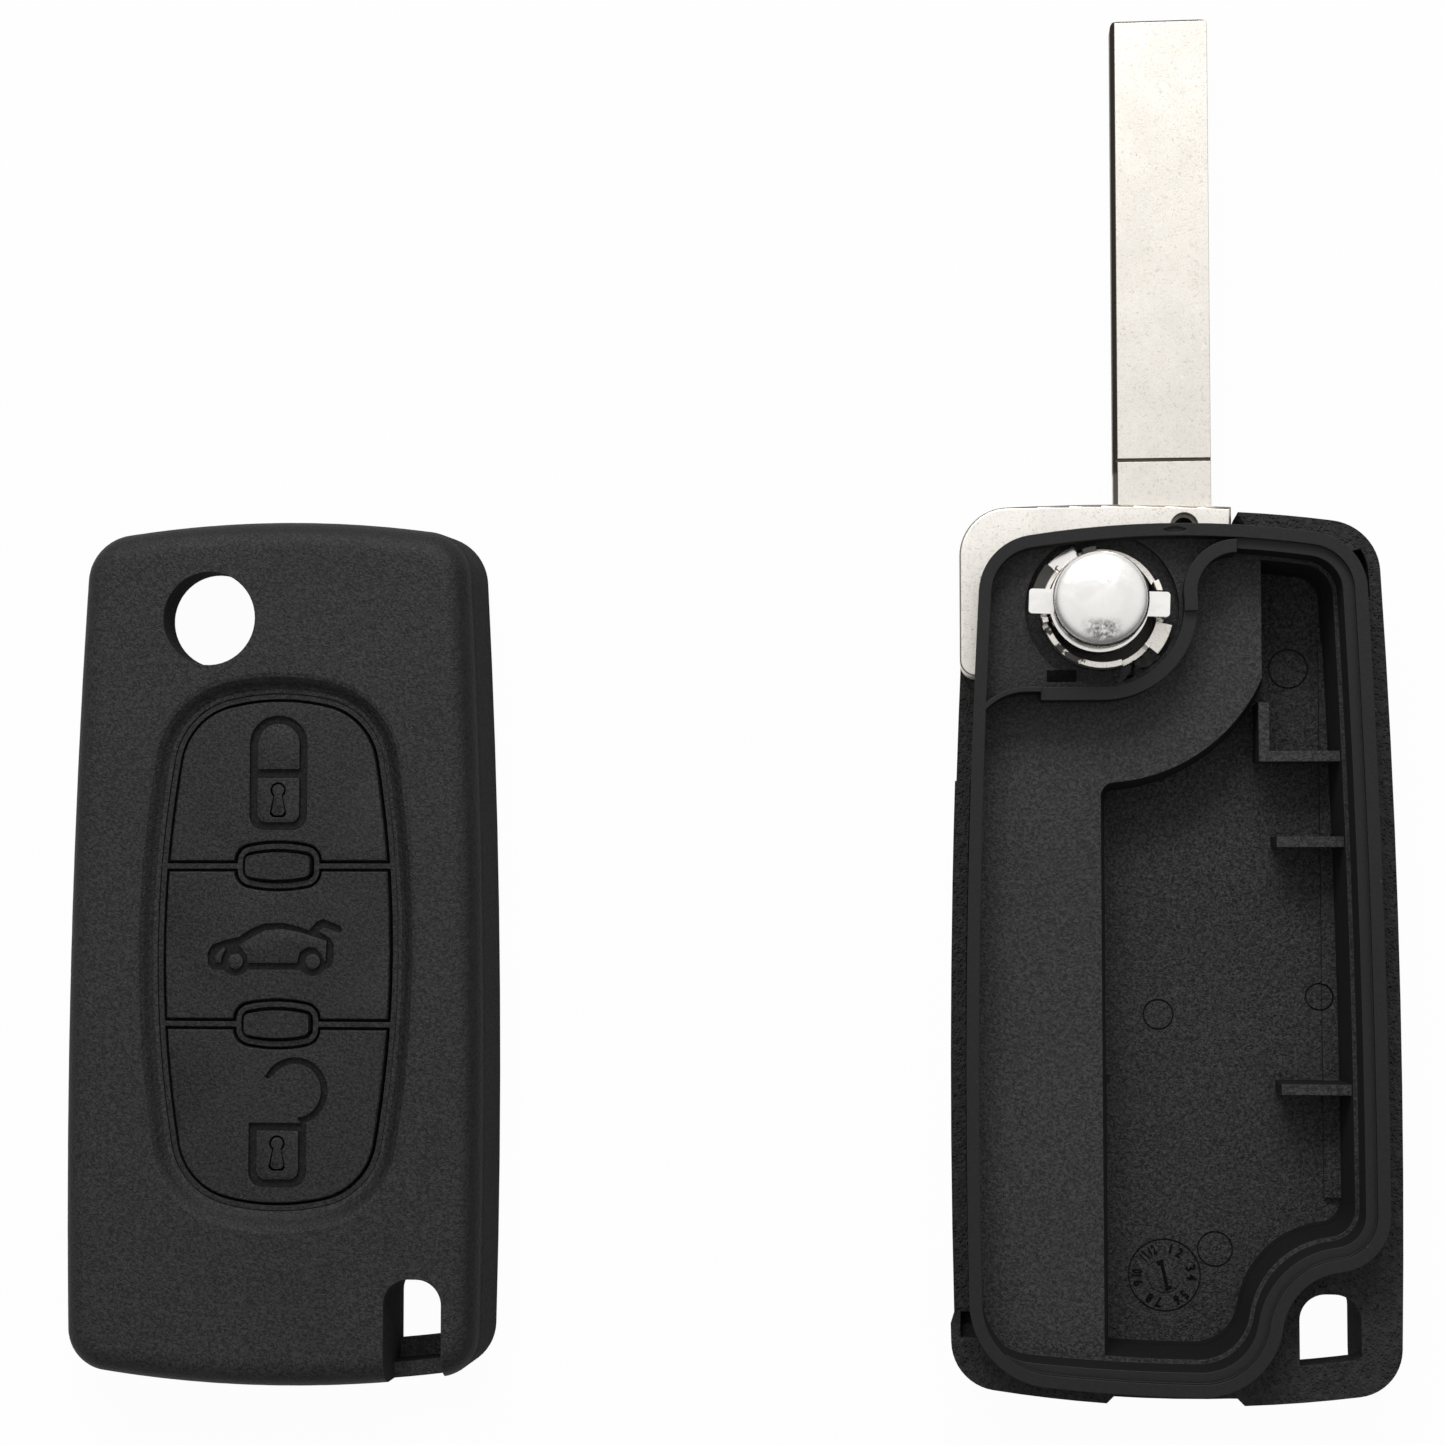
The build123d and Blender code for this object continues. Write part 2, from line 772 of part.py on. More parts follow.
blade_head.part.label = "blade_head"
export_step(blade_head.part, "parts/blade_head.step")

# Blade: a plain, uncut blank with bevelled edges and a shoulder groove above the head
with BuildPart() as blade:
    with BuildSketch(
        Plane(origin=(blade_x, blade_foot_y, blade_bottom), x_dir=(1, 0, 0), z_dir=(0, -1, 0))
    ):
        Rectangle(blade_width, blade_thickness, align=(Align.CENTER, Align.MIN))
        upper_left = vertices().group_by(Axis.X)[0].sort_by(Axis.Y)[-1]
        chamfer(upper_left, blade_edge_bevel)
    extrude(amount=blade_foot_y - blade_tip_y)
    tip_edge = edges().group_by(Axis.Y)[-1].sort_by(Axis.Z)[-1]
    chamfer(tip_edge, length=blade_bevel_depth, length2=blade_tip_bevel)
    with BuildSketch(at_height(blade_bottom)):
        rectangle_between(blade_left, blade_right, blade_foot_y, blade_tip_y)
        fillet(vertices().group_by(Axis.Y)[-1], blade_tip_radius)
    extrude(amount=blade_thickness, mode=Mode.INTERSECT)
    with BuildSketch(at_height(blade_bottom + blade_thickness)):
        with Locations((blade_x, pivot_y + groove_reach)):
            Rectangle(2 * blade_width, groove_width)
    extrude(amount=-groove_depth, mode=Mode.SUBTRACT)
    with BuildSketch(at_height(blade_bottom)):
        with Locations(pin_centre):
            Circle(pin_radius)
    extrude(amount=blade_thickness, mode=Mode.SUBTRACT)
blade.part.label = "blade"
export_step(blade.part, "parts/blade.step")

# Blade pin: a rolled pin, slit along its length
with BuildPart() as blade_pin:
    with BuildSketch(Plane(origin=(*pin_centre, head_bottom))):
        Circle(pin_radius)
        Circle(pin_radius - pin_wall, mode=Mode.SUBTRACT)
        rectangle_between(0, pin_radius, -pin_slit / 2, pin_slit / 2, mode=Mode.SUBTRACT)
    extrude(amount=head_thickness - pin_recess)
blade_pin.part.label = "blade_pin"
export_step(blade_pin.part, "parts/blade_pin.step")

# Release button: a hollow dome on a skirt, with two ears that engage the crown
with BuildPart() as release_button:
    with BuildSketch(Plane(origin=(button_x, button_y, 0), x_dir=(1, 0, 0), z_dir=(0, -1, 0))):
        with BuildLine():
            Polyline(
                (skirt_radius - button_wall, skirt_bottom),
                (skirt_radius, skirt_bottom),
                (skirt_radius, ear_top),
                (button_radius, ear_top),
                (button_radius, button_shoulder),
            )
            Spline(
                (button_radius, button_shoulder),
                (
                    button_bulge * button_radius,
                    button_shoulder + button_bulge * (button_top - button_shoulder),
                ),
                (0, button_top),
                tangents=((0, 1), (-1, 0)),
            )
            Polyline(
                (0, button_top),
                (0, button_shoulder - button_wall),
                (button_radius - button_wall, button_shoulder - button_wall),
                (button_radius - button_wall, ear_top - ear_thickness),
                (skirt_radius - button_wall, ear_top - ear_thickness),
                (skirt_radius - button_wall, skirt_bottom),
            )
        make_face()
    revolve(axis=Axis((button_x, button_y, 0), (0, 0, 1)))
    with BuildSketch(Plane(origin=(button_x, button_y, ear_top)).rotated((0, 0, ear_turn))):
        Rectangle(2 * ear_reach, ear_width)
        fillet(vertices(), ear_corner_radius)
        Circle(button_radius - button_wall / 2, mode=Mode.SUBTRACT)
    extrude(amount=-ear_thickness)
release_button.part.label = "release_button"
export_step(release_button.part, "parts/release_button.step")

# Release spring: a coil between the hub's floor and the button's crown
with BuildPart() as release_spring:
    spring_foot = hub_bore_floor + spring_gap + spring_wire / 2
    spring_head = button_shoulder - button_wall - spring_gap - spring_wire / 2
    with BuildLine():
        coil = Helix(
            (spring_head - spring_foot) / spring_turns,
            spring_head - spring_foot,
            spring_radius,
            center=(button_x, button_y, spring_foot),
        )
    with BuildSketch(Plane(origin=coil @ 0, z_dir=coil % 0)):
        Circle(spring_wire / 2)
    sweep(path=coil, is_frenet=True)
release_spring.part.label = "release_spring"
export_step(release_spring.part, "parts/release_spring.step")

# Front cover: a shell with a dish that falls smoothly to the keypad's opening
with BuildPart() as front_cover:
    with BuildSketch(at_front(0)):
        add(fob_outline())
    with BuildSketch(at_front(front_height)):
        add(fob_outline(front_height * tan(radians(draft))))
    loft(ruled=True)
    fillet(edges().group_by(Axis.Z)[-1], front_edge_radius)
    with BuildSketch(at_front(0)):
        add(tray_outline(-tray_clearance))
    extrude(amount=front_ceiling, mode=Mode.SUBTRACT)
    for step in range(dish_steps + 1):
        share = step / dish_steps
        fall = dish_depth * share * share * (3 - 2 * share)
        with BuildSketch(at_front(front_height - fall)):
            add(pad_outline(dish_width * (share - 1)))
    loft(ruled=True, mode=Mode.SUBTRACT)
    with BuildSketch(at_front(front_ceiling)):
        add(pad_outline())
    extrude(amount=front_height - front_ceiling, mode=Mode.SUBTRACT)
    with BuildSketch(at_front(front_ceiling)):
        with Locations(pivot):
            Circle(release_hole_radius + collar_wall)
    extrude(amount=-collar_height)
    with BuildSketch(at_front(0)):
        with Locations(pivot):
            Circle(release_hole_radius)
        add(front_keyring_hole.sketch)
    extrude(amount=front_height, mode=Mode.SUBTRACT)
    with BuildSketch(at_front(front_bar_floor)):
        add(fob_outline(front_bar_lip_width))
        add(keyring_notch.sketch, mode=Mode.INTERSECT)
    extrude(amount=front_height, mode=Mode.SUBTRACT)
    with BuildSketch(at_front(front_bar_lip_height)):
        add(keyring_notch.sketch)
    extrude(amount=front_height, mode=Mode.SUBTRACT)
front_cover.part.label = "front_cover"
export_step(front_cover.part, "parts/front_cover.step")

# Keypad web: the membrane, its rim under the cover, the ridges and the two nubs
with BuildPart() as keypad_web:
    with BuildSketch(at_front(web_bottom)):
        add(pad_outline(-web_flange))
    extrude(amount=web_membrane)
    with BuildSketch(at_front(web_bottom)):
        add(pad_outline(-web_flange))
        add(pad_outline(web_clearance + web_ridge), mode=Mode.SUBTRACT)
    extrude(amount=front_ceiling - web_bottom)
    with BuildSketch(at_front(web_bottom)):
        add(pad_outline(web_clearance))
        add(pad_outline(web_clearance + web_ridge), mode=Mode.SUBTRACT)
        for bar_y in bar_ys:
            with Locations((pad_x, bar_y)):
                Rectangle(2 * (pad_half_width - web_clearance - web_ridge / 2), web_ridge)
        for nub_y in bar_ys:
            add(nub_outline(nub_y, nub_groove + web_ridge))
        for nub_y in bar_ys:
            add(nub_outline(nub_y, nub_groove), mode=Mode.SUBTRACT)
    extrude(amount=web_ridge_top - web_bottom)
    with BuildSketch(at_front(web_bottom)):
        for nub_y in bar_ys:
            add(nub_outline(nub_y, 0))
    extrude(amount=nub_top - web_bottom)
keypad_web.part.label = "keypad_web"
export_step(keypad_web.part, "parts/keypad_web.step")

# Keypad buttons: three caps over the membrane, with softened upper edges
bar_clearance = web_ridge / 2 + button_gap
keypad_button_bottom = keypad_button_top - keypad_button_thickness

with BuildPart() as lock_button:
    with BuildSketch(at_front(keypad_button_bottom)):
        add(button_outline(upper_bar_y + bar_clearance, reach))
    extrude(amount=keypad_button_thickness)
    fillet(faces().sort_by(Axis.Z)[-1].edges(), keypad_edge_radius)
lock_button.part.label = "lock_button"
export_step(lock_button.part, "parts/lock_button.step")

with BuildPart() as boot_button:
    with BuildSketch(at_front(keypad_button_bottom)):
        add(button_outline(lower_bar_y + bar_clearance, upper_bar_y - bar_clearance))
    extrude(amount=keypad_button_thickness)
    fillet(faces().sort_by(Axis.Z)[-1].edges(), keypad_edge_radius)
boot_button.part.label = "boot_button"
export_step(boot_button.part, "parts/boot_button.step")

with BuildPart() as unlock_button:
    with BuildSketch(at_front(keypad_button_bottom)):
        add(button_outline(-reach, lower_bar_y - bar_clearance))
    extrude(amount=keypad_button_thickness)
    fillet(faces().sort_by(Axis.Z)[-1].edges(), keypad_edge_radius)
unlock_button.part.label = "unlock_button"
export_step(unlock_button.part, "parts/unlock_button.step")
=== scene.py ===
"""Looks of an opened flip-key fob shell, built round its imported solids.

Metres, +Z up, in the frame of the solids. Patterns work in millimetres of Object coordinates.
"""

import json
from math import cos, radians, sin

import bmesh
import bpy
from mathutils import Matrix, Vector


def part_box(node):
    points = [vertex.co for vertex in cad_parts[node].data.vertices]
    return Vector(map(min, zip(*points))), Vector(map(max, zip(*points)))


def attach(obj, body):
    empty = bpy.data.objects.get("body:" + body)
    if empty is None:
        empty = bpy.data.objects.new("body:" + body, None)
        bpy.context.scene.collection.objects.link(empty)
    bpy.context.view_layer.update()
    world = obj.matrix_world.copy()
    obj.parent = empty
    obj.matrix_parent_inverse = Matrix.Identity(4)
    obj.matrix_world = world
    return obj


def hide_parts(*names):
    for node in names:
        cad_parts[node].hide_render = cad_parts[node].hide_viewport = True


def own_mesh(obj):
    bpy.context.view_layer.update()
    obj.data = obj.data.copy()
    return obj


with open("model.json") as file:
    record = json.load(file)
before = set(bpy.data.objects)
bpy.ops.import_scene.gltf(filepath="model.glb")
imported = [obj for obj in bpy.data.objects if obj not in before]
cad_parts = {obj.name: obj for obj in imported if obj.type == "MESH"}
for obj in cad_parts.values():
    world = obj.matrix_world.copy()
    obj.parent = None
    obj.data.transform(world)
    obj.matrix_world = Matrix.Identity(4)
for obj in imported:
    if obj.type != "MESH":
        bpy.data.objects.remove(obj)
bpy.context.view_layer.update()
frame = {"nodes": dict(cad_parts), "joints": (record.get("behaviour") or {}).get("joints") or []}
scene = bpy.context.scene
nodes = frame["nodes"]
MM = 0.001

# Places read from the solids: corners in metres, the rest in mm
cover_low, cover_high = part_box("front_cover")
dome_low, dome_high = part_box("release_button")
cover_x = (cover_low.x + cover_high.x) / 2 / MM
dome_x = (dome_low.x + dome_high.x) / 2 / MM
dome_y = (dome_low.y + dome_high.y) / 2 / MM
blade_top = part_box("blade")[1].z / MM
keypad_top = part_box("lock_button")[1].z / MM
pivot_x, pivot_y = (value / MM for value in frame["joints"][0]["pos_m"][:2])

# Heights in mm between which a finish or a painted shade of the rear half changes
MARK_GROOVE = (2.7, 2.78)
POCKET_FLOOR = (3.6, 4.4)
SHELF_STEP = (8.4, 9.4)
RIM_TOP = (11.6, 11.9)
TOOTH_FOOT = (9.14, 9.2)
CROWN_FOOT = (10.35, 10.5)
DOME_SIDE = (14.6, 15.6)

# Dark parts of the crown: turns about the pivot in degrees, reaches from it in mm
STUB_TURN = (92, 112)
TOOTH_TURN = (137, 172)
BROKEN_ARC_TURN = (-162, -108)
WELL_REACH = (4.68, 4.74)
TOOTH_REACH = (5.0, 5.15)
CROWN_REACH = (6.6, 6.8)

# Colours
BLACK_PLASTIC = (0.021, 0.021, 0.0207, 1)
BLACK_RUBBER = (0.018, 0.018, 0.0178, 1)
# Black film, also the painted shade in the deck's cut-outs
FILM_AND_SHADE_BLACK = (0.004, 0.004, 0.004, 1)
WHEEL_BLACK = (0.003, 0.003, 0.003, 1)
WALL_SHADE_BLACK = (0.001, 0.001, 0.001, 1)
SHADOW_BLACK = (0.012, 0.011, 0.01, 1)
DUST = (0.11, 0.105, 0.095, 1)
# Painted highlight on edges
EDGE_HIGHLIGHT_GREY = (0.045, 0.045, 0.044, 1)
DARK_NICKEL = (0.05, 0.038, 0.028, 1)
SCRATCH_BROWN = (0.5, 0.45, 0.39, 1)
SCRATCH_WHITE = (0.95, 0.93, 0.9, 1)
PIT_BROWN = (0.2, 0.16, 0.12, 1)
BLADE_NICKEL = (0.76, 0.72, 0.66, 1)
HEAD_NICKEL = (0.9, 0.865, 0.8, 1)
PIN_STEEL = (0.2, 0.18, 0.155, 1)
SPRING_STEEL = (0.45, 0.44, 0.42, 1)
DOME_NICKEL = (0.96, 0.935, 0.9, 1)
DOME_PIT = (0.22, 0.18, 0.14, 1)
RUBBED_GREY = (0.1, 0.095, 0.09, 1)


# Node helpers
def add_node(tree, kind, **settings):
    """Add a shader node and set its properties."""
    node = tree.nodes.new("ShaderNode" + kind)
    for setting, value in settings.items():
        setattr(node, setting, value)
    return node


def feed(tree, socket, value):
    """Link an output to a socket, or set the socket to a plain value."""
    if isinstance(value, bpy.types.NodeSocket):
        tree.links.new(value, socket)
    else:
        socket.default_value = value


def calculate(tree, operation, *values):
    """Add a Math node on up to three values."""
    node = add_node(tree, "Math", operation=operation)
    for socket, value in zip(node.inputs, values):
        feed(tree, socket, value)
    return node.outputs[0]


def multiply(tree, first, *others):
    """Multiply two or more values."""
    product = first
    for other in others:
        product = calculate(tree, "MULTIPLY", product, other)
    return product


def ramp(tree, value, low, high, to_low=0.0, to_high=1.0):
    """Map a value softly from one range to another."""
    node = add_node(tree, "MapRange", interpolation_type="SMOOTHSTEP")
    for socket, number in zip(node.inputs, (value, low, high, to_low, to_high)):
        feed(tree, socket, number)
    return node.outputs[0]


def between(tree, value, low, high, soft=0.01):
    """Return 1 between two values and 0 outside them, with a soft step at each."""
    rise = ramp(tree, value, low - soft, low + soft)
    return multiply(tree, rise, ramp(tree, value, high - soft, high + soft, 1.0, 0.0))


def mix_colors(tree, share, first, second, blend="MIX"):
    """Mix two colours by a share."""
    node = add_node(tree, "Mix", data_type="RGBA", blend_type=blend)
    feed(tree, node.inputs["Factor"], share)
    feed(tree, node.inputs["A"], first)
    feed(tree, node.inputs["B"], second)
    return node.outputs["Result"]


def mix_values(tree, share, first, second):
    """Mix two values by a share."""
    node = add_node(tree, "Mix", data_type="FLOAT")
    feed(tree, node.inputs["Factor"], share)
    feed(tree, node.inputs["A"], first)
    feed(tree, node.inputs["B"], second)
    return node.outputs[0]


def tinted(tree, color, tone):
    """Multiply a colour by a grey tone."""
    grey = add_node(tree, "CombineXYZ")
    for socket in grey.inputs:
        feed(tree, socket, tone)
    return mix_colors(tree, 1.0, color, grey.outputs[0], "MULTIPLY")


def noise(tree, position, scale, detail=2.0, roughness=0.5, distortion=0.0):
    """Add a noise pattern on a position and return its value."""
    node = add_node(tree, "TexNoise")
    tree.links.new(position, node.inputs["Vector"])
    feed(tree, node.inputs["Scale"], scale)
    node.inputs["Detail"].default_value = detail
    node.inputs["Roughness"].default_value = roughness
    node.inputs["Distortion"].default_value = distortion
    return node.outputs[0]


def cells(tree, position, scale):
    """Add a pattern of cells on a position and return its outputs."""
    node = add_node(tree, "TexVoronoi", feature="F1")
    tree.links.new(position, node.inputs["Vector"])
    feed(tree, node.inputs["Scale"], scale)
    return node.outputs


def split_vector(tree, vector):
    """Return a vector's three parts."""
    node = add_node(tree, "SeparateXYZ")
    tree.links.new(vector, node.inputs[0])
    return node.outputs


# Shared effects: each is a node group with named sockets
def new_group(name, inputs, outputs):
    """Start a shader node group and return it with its two ends."""
    group = bpy.data.node_groups.new(name, "ShaderNodeTree")
    for socket, kind in inputs:
        group.interface.new_socket(socket, in_out="INPUT", socket_type="NodeSocket" + kind)
    for socket, kind in outputs:
        group.interface.new_socket(socket, in_out="OUTPUT", socket_type="NodeSocket" + kind)
    return group, group.nodes.new("NodeGroupInput"), group.nodes.new("NodeGroupOutput")


def use_group(tree, group, **values):
    """Place a node group in a material and return its outputs."""
    node = tree.nodes.new("ShaderNodeGroup")
    node.node_tree = group
    for name, value in values.items():
        feed(tree, node.inputs[name], value)
    return node.outputs


def make_moulded_grain():
    """Fine leathery grain of moulded plastic: Height, and Tone about 1."""
    group, start, end = new_group(
        "moulded_grain",
        (("Position", "Vector"), ("Scale", "Float")),
        (("Height", "Float"), ("Tone", "Float")),
    )
    position = start.outputs["Position"]
    fine = noise(group, position, start.outputs["Scale"], 2.0, 0.6, 0.9)
    group.links.new(fine, end.inputs["Height"])
    speckle = ramp(group, fine, 0.36, 0.66, 0.3, 1.95)
    patches = ramp(group, noise(group, position, 0.09, 3.0), 0.3, 0.7, 0.94, 1.06)
    group.links.new(multiply(group, speckle, patches), end.inputs["Tone"])
    return group


def make_spark_texture():
    """Coarse, pitted texture left by a spark-cut mould: Height, and Tone about 1."""
    group, start, end = new_group(
        "spark_texture",
        (("Position", "Vector"), ("Scale", "Float")),
        (("Height", "Float"), ("Tone", "Float")),
    )
    position = start.outputs["Position"]
    scale = start.outputs["Scale"]
    coarse = noise(group, position, scale, 4.0, 0.65, 0.6)
    pits = cells(group, position, multiply(group, scale, 1.9))
    hollow = ramp(group, pits["Distance"], 0.0, 0.5)
    height = calculate(group, "MULTIPLY_ADD", hollow, 0.45, coarse)
    group.links.new(height, end.inputs["Height"])
    group.links.new(ramp(group, coarse, 0.32, 0.68, 0.35, 1.5), end.inputs["Tone"])
    return group


def make_hairlines():
    """Short curved scratches: Mask is 1 on a line."""
    group, start, end = new_group(
        "hairlines",
        (("Position", "Vector"), ("Scale", "Float"), ("Width", "Float"), ("Share", "Float")),
        (("Mask", "Float"),),
    )
    position = start.outputs["Position"]
    scale = start.outputs["Scale"]
    field = noise(group, position, scale, 1.0, 0.4, 1.2)
    offset = calculate(group, "ABSOLUTE", calculate(group, "SUBTRACT", field, 0.5))
    line = ramp(group, offset, 0.0, start.outputs["Width"], 1.0, 0.0)
    breaks = noise(group, position, multiply(group, scale, 1.3), 2.0)
    kept = calculate(group, "LESS_THAN", breaks, start.outputs["Share"])
    group.links.new(multiply(group, line, kept), end.inputs["Mask"])
    return group


def make_specks():
    """Scattered small specks or pits: Mask is 1 on a speck."""
    group, start, end = new_group(
        "specks",
        (("Position", "Vector"), ("Scale", "Float"), ("Radius", "Float"), ("Share", "Float")),
        (("Mask", "Float"),),
    )
    spots = cells(group, start.outputs["Position"], start.outputs["Scale"])
    near = calculate(group, "LESS_THAN", spots["Distance"], start.outputs["Radius"])
    chance = split_vector(group, spots["Color"])[0]
    kept = calculate(group, "LESS_THAN", chance, start.outputs["Share"])
    group.links.new(multiply(group, near, kept), end.inputs["Mask"])
    return group


def make_worn_edges():
    """Rounded sharp edges: Normal over them, and Mask, 1 on an edge, where materials paint
    highlights or shade. Radius is in metres.
    """
    group, start, end = new_group(
        "rounded_edges", (("Radius", "Float"),), (("Normal", "Vector"), ("Mask", "Float"))
    )
    rounded = add_node(group, "Bevel", samples=6)
    group.links.new(start.outputs["Radius"], rounded.inputs["Radius"])
    facing = add_node(group, "VectorMath", operation="DOT_PRODUCT")
    group.links.new(rounded.outputs[0], facing.inputs[0])
    group.links.new(add_node(group, "NewGeometry").outputs["Normal"], facing.inputs[1])
    group.links.new(rounded.outputs[0], end.inputs["Normal"])
    group.links.new(ramp(group, facing.outputs["Value"], 0.8, 0.985, 1.0, 0.0), end.inputs["Mask"])
    return group


def make_wall_shade():
    """Painted shade on walls, and duller walls: Tone falls to Dark as the surface turns upright,
    Dull rises to 1.
    """
    group, start, end = new_group(
        "wall_shade",
        (("Normal", "Vector"), ("Low", "Float"), ("High", "Float"), ("Dark", "Float")),
        (("Tone", "Float"), ("Dull", "Float")),
    )
    level = calculate(group, "ABSOLUTE", split_vector(group, start.outputs["Normal"])[2])
    limits = (start.outputs["Low"], start.outputs["High"], start.outputs["Dark"])
    group.links.new(ramp(group, level, *limits, 1.0), end.inputs["Tone"])
    group.links.new(ramp(group, level, 0.1, 0.6, 1.0, 0.0), end.inputs["Dull"])
    return group


moulded_grain = make_moulded_grain()
spark_texture = make_spark_texture()
hairlines = make_hairlines()
specks = make_specks()
rounded_edges = make_worn_edges()
wall_shade = make_wall_shade()


# Material helpers
def start_material(name, roughness, specular=0.5, metallic=0.0):
    """Start a material and return it with its tree, shader, position in mm and normal."""
    material = bpy.data.materials.new(name)
    material.use_nodes = True
    tree = material.node_tree
    shader = next(node for node in tree.nodes if node.type == "BSDF_PRINCIPLED")
    shader.inputs["Roughness"].default_value = roughness
    shader.inputs["Specular IOR Level"].default_value = specular
    shader.inputs["Metallic"].default_value = metallic
    coordinates = add_node(tree, "TexCoord")
    scaling = add_node(tree, "VectorMath", operation="SCALE")
    tree.links.new(coordinates.outputs["Object"], scaling.inputs[0])
    scaling.inputs["Scale"].default_value = 1 / MM
    return material, tree, shader, scaling.outputs[0], coordinates.outputs["Normal"]


def coat(tree, base, mask, share, color):
    """Lay a colour over a base by a share of a mask."""
    return mix_colors(tree, multiply(tree, mask, share), base, color)


def add_bump(tree, shader, height, distance, strength=1.0, over=None):
    """Raise a surface by a height pattern, over a distance in metres."""
    bump = add_node(tree, "Bump")
    if over:
        tree.links.new(over, bump.inputs["Normal"])
    bump.inputs["Strength"].default_value = strength
    bump.inputs["Distance"].default_value = distance
    tree.links.new(height, bump.inputs["Height"])
    tree.links.new(bump.outputs[0], shader.inputs["Normal"])


# Materials
def make_shell_plastic(name, color, roughness, grain_scale, specular=0.3):
    """Satin black moulding with fine grain, faint dust and a few light hairlines, painted shade on
    steep sides and painted highlights on edges.
    """
    material, tree, shader, position, normal = start_material(name, roughness, specular)
    grain = use_group(tree, moulded_grain, Position=position, Scale=grain_scale)
    dust = use_group(tree, specks, Position=position, Scale=0.45, Radius=0.035, Share=0.35)
    lines = use_group(tree, hairlines, Position=position, Scale=0.11, Width=0.0016, Share=0.4)
    walls = use_group(tree, wall_shade, Normal=normal, Low=0.72, High=0.998, Dark=0.28)
    edges = use_group(tree, rounded_edges, Radius=0.1 * MM)
    # Painted shade: the base darkens as the surface turns upright
    base = tinted(tree, color, multiply(tree, grain["Tone"], walls["Tone"]))
    base = coat(tree, base, dust["Mask"], 0.5, DUST)
    base = coat(tree, base, lines["Mask"], 0.12, DUST)
    # Painted highlight: edges are lightened
    base = coat(tree, base, edges["Mask"], 0.5, EDGE_HIGHLIGHT_GREY)
    tree.links.new(base, shader.inputs["Base Color"])
    rough = ramp(tree, grain["Height"], 0.3, 0.7, roughness - 0.05, roughness + 0.06)
    rough = calculate(tree, "MAXIMUM", rough, walls["Dull"])
    tree.links.new(rough, shader.inputs["Roughness"])
    add_bump(tree, shader, grain["Height"], 0.00012, over=edges["Normal"])
    return material


def make_rear_plastic():
    """Rear cover: spark-cut faces inside and on the flange, fine grain outside, painted shade on
    steep faces and painted highlights on edges.
    """
    material, tree, shader, position, normal = start_material("rear_cover_plastic", 0.6, 0.3)
    grain = use_group(tree, moulded_grain, Position=position, Scale=2.6)
    spark = use_group(tree, spark_texture, Position=position, Scale=1.7)
    dust = use_group(tree, specks, Position=position, Scale=0.7, Radius=0.05, Share=0.3)
    walls = use_group(tree, wall_shade, Normal=normal, Low=0.2, High=0.8, Dark=0.4)
    edges = use_group(tree, rounded_edges, Radius=0.12 * MM)
    inside = ramp(tree, split_vector(tree, normal)[2], 0.35, 0.6)
    tone = mix_values(tree, inside, grain["Tone"], spark["Tone"])
    height = mix_values(tree, inside, grain["Height"], spark["Height"])
    # Painted shade: the base darkens as the surface turns upright
    base = tinted(tree, BLACK_PLASTIC, multiply(tree, tone, walls["Tone"]))
    base = coat(tree, base, dust["Mask"], 0.6, DUST)
    # Painted highlight: edges are lightened
    base = coat(tree, base, edges["Mask"], 0.35, EDGE_HIGHLIGHT_GREY)
    tree.links.new(base, shader.inputs["Base Color"])
    rough = ramp(tree, spark["Height"], 0.4, 1.0, 0.42, 0.66)
    rough = calculate(tree, "MAXIMUM", rough, walls["Dull"])
    tree.links.new(rough, shader.inputs["Roughness"])
    add_bump(tree, shader, height, 0.00024, over=edges["Normal"])
    return material


def make_tray_plastic():
    """Inner tray: smoother rim, grained deck and shelf, rougher pocket floor, walls painted near
    black as shade, mark grooves painted dark as shade, painted highlights on edges.
    """
    material, tree, shader, position, normal = start_material("tray_plastic", 0.58, 0.32)
    z = split_vector(tree, position)[2]
    upright = split_vector(tree, normal)[2]
    grain = use_group(tree, moulded_grain, Position=position, Scale=4.0)
    spark = use_group(tree, spark_texture, Position=position, Scale=3.4)
    dust = use_group(tree, specks, Position=position, Scale=0.6, Radius=0.04, Share=0.3)
    lines = use_group(tree, hairlines, Position=position, Scale=0.16, Width=0.0018, Share=0.42)
    edges = use_group(tree, rounded_edges, Radius=0.09 * MM)
    rim = ramp(tree, z, *RIM_TOP)
    floor_share = ramp(tree, z, *POCKET_FLOOR, 1.0, 0.0)
    rim_tone = ramp(tree, grain["Tone"], 0.3, 1.95, 0.22, 0.46)
    body_tone = multiply(tree, grain["Tone"], ramp(tree, z, *SHELF_STEP, 1.45, 0.88))
    tone = mix_values(tree, rim, body_tone, rim_tone)
    # Painted shade: the mark grooves on the pocket floor are darkened to a tenth
    tone = multiply(tree, tone, ramp(tree, z, *MARK_GROOVE, 0.1, 1.0))
    base = tinted(tree, BLACK_PLASTIC, tone)
    base = coat(tree, base, dust["Mask"], 0.5, DUST)
    base = coat(tree, base, lines["Mask"], 0.14, DUST)
    # Painted shade: upright walls turn near black
    base = mix_colors(tree, ramp(tree, upright, 0.2, 0.5, 0.96, 0.0), base, WALL_SHADE_BLACK)
    # Painted highlight: edges are lightened
    base = coat(tree, base, edges["Mask"], 0.75, EDGE_HIGHLIGHT_GREY)
    tree.links.new(base, shader.inputs["Base Color"])
    rough = ramp(tree, grain["Height"], 0.3, 0.7, 0.54, 0.66)
    rough = calculate(tree, "SUBTRACT", rough, multiply(tree, rim, 0.08))
    rough = calculate(tree, "MAXIMUM", rough, ramp(tree, upright, 0.1, 0.6, 1.0, 0.0))
    tree.links.new(rough, shader.inputs["Roughness"])
    floor_height = multiply(tree, spark["Height"], floor_share, 1.6)
    grain_share = calculate(tree, "SUBTRACT", 1.0, multiply(tree, rim, 0.85))
    body_height = multiply(tree, grain["Height"], grain_share)
    height = calculate(tree, "ADD", floor_height, body_height)
    add_bump(tree, shader, height, 0.0001, over=edges["Normal"])
    return material


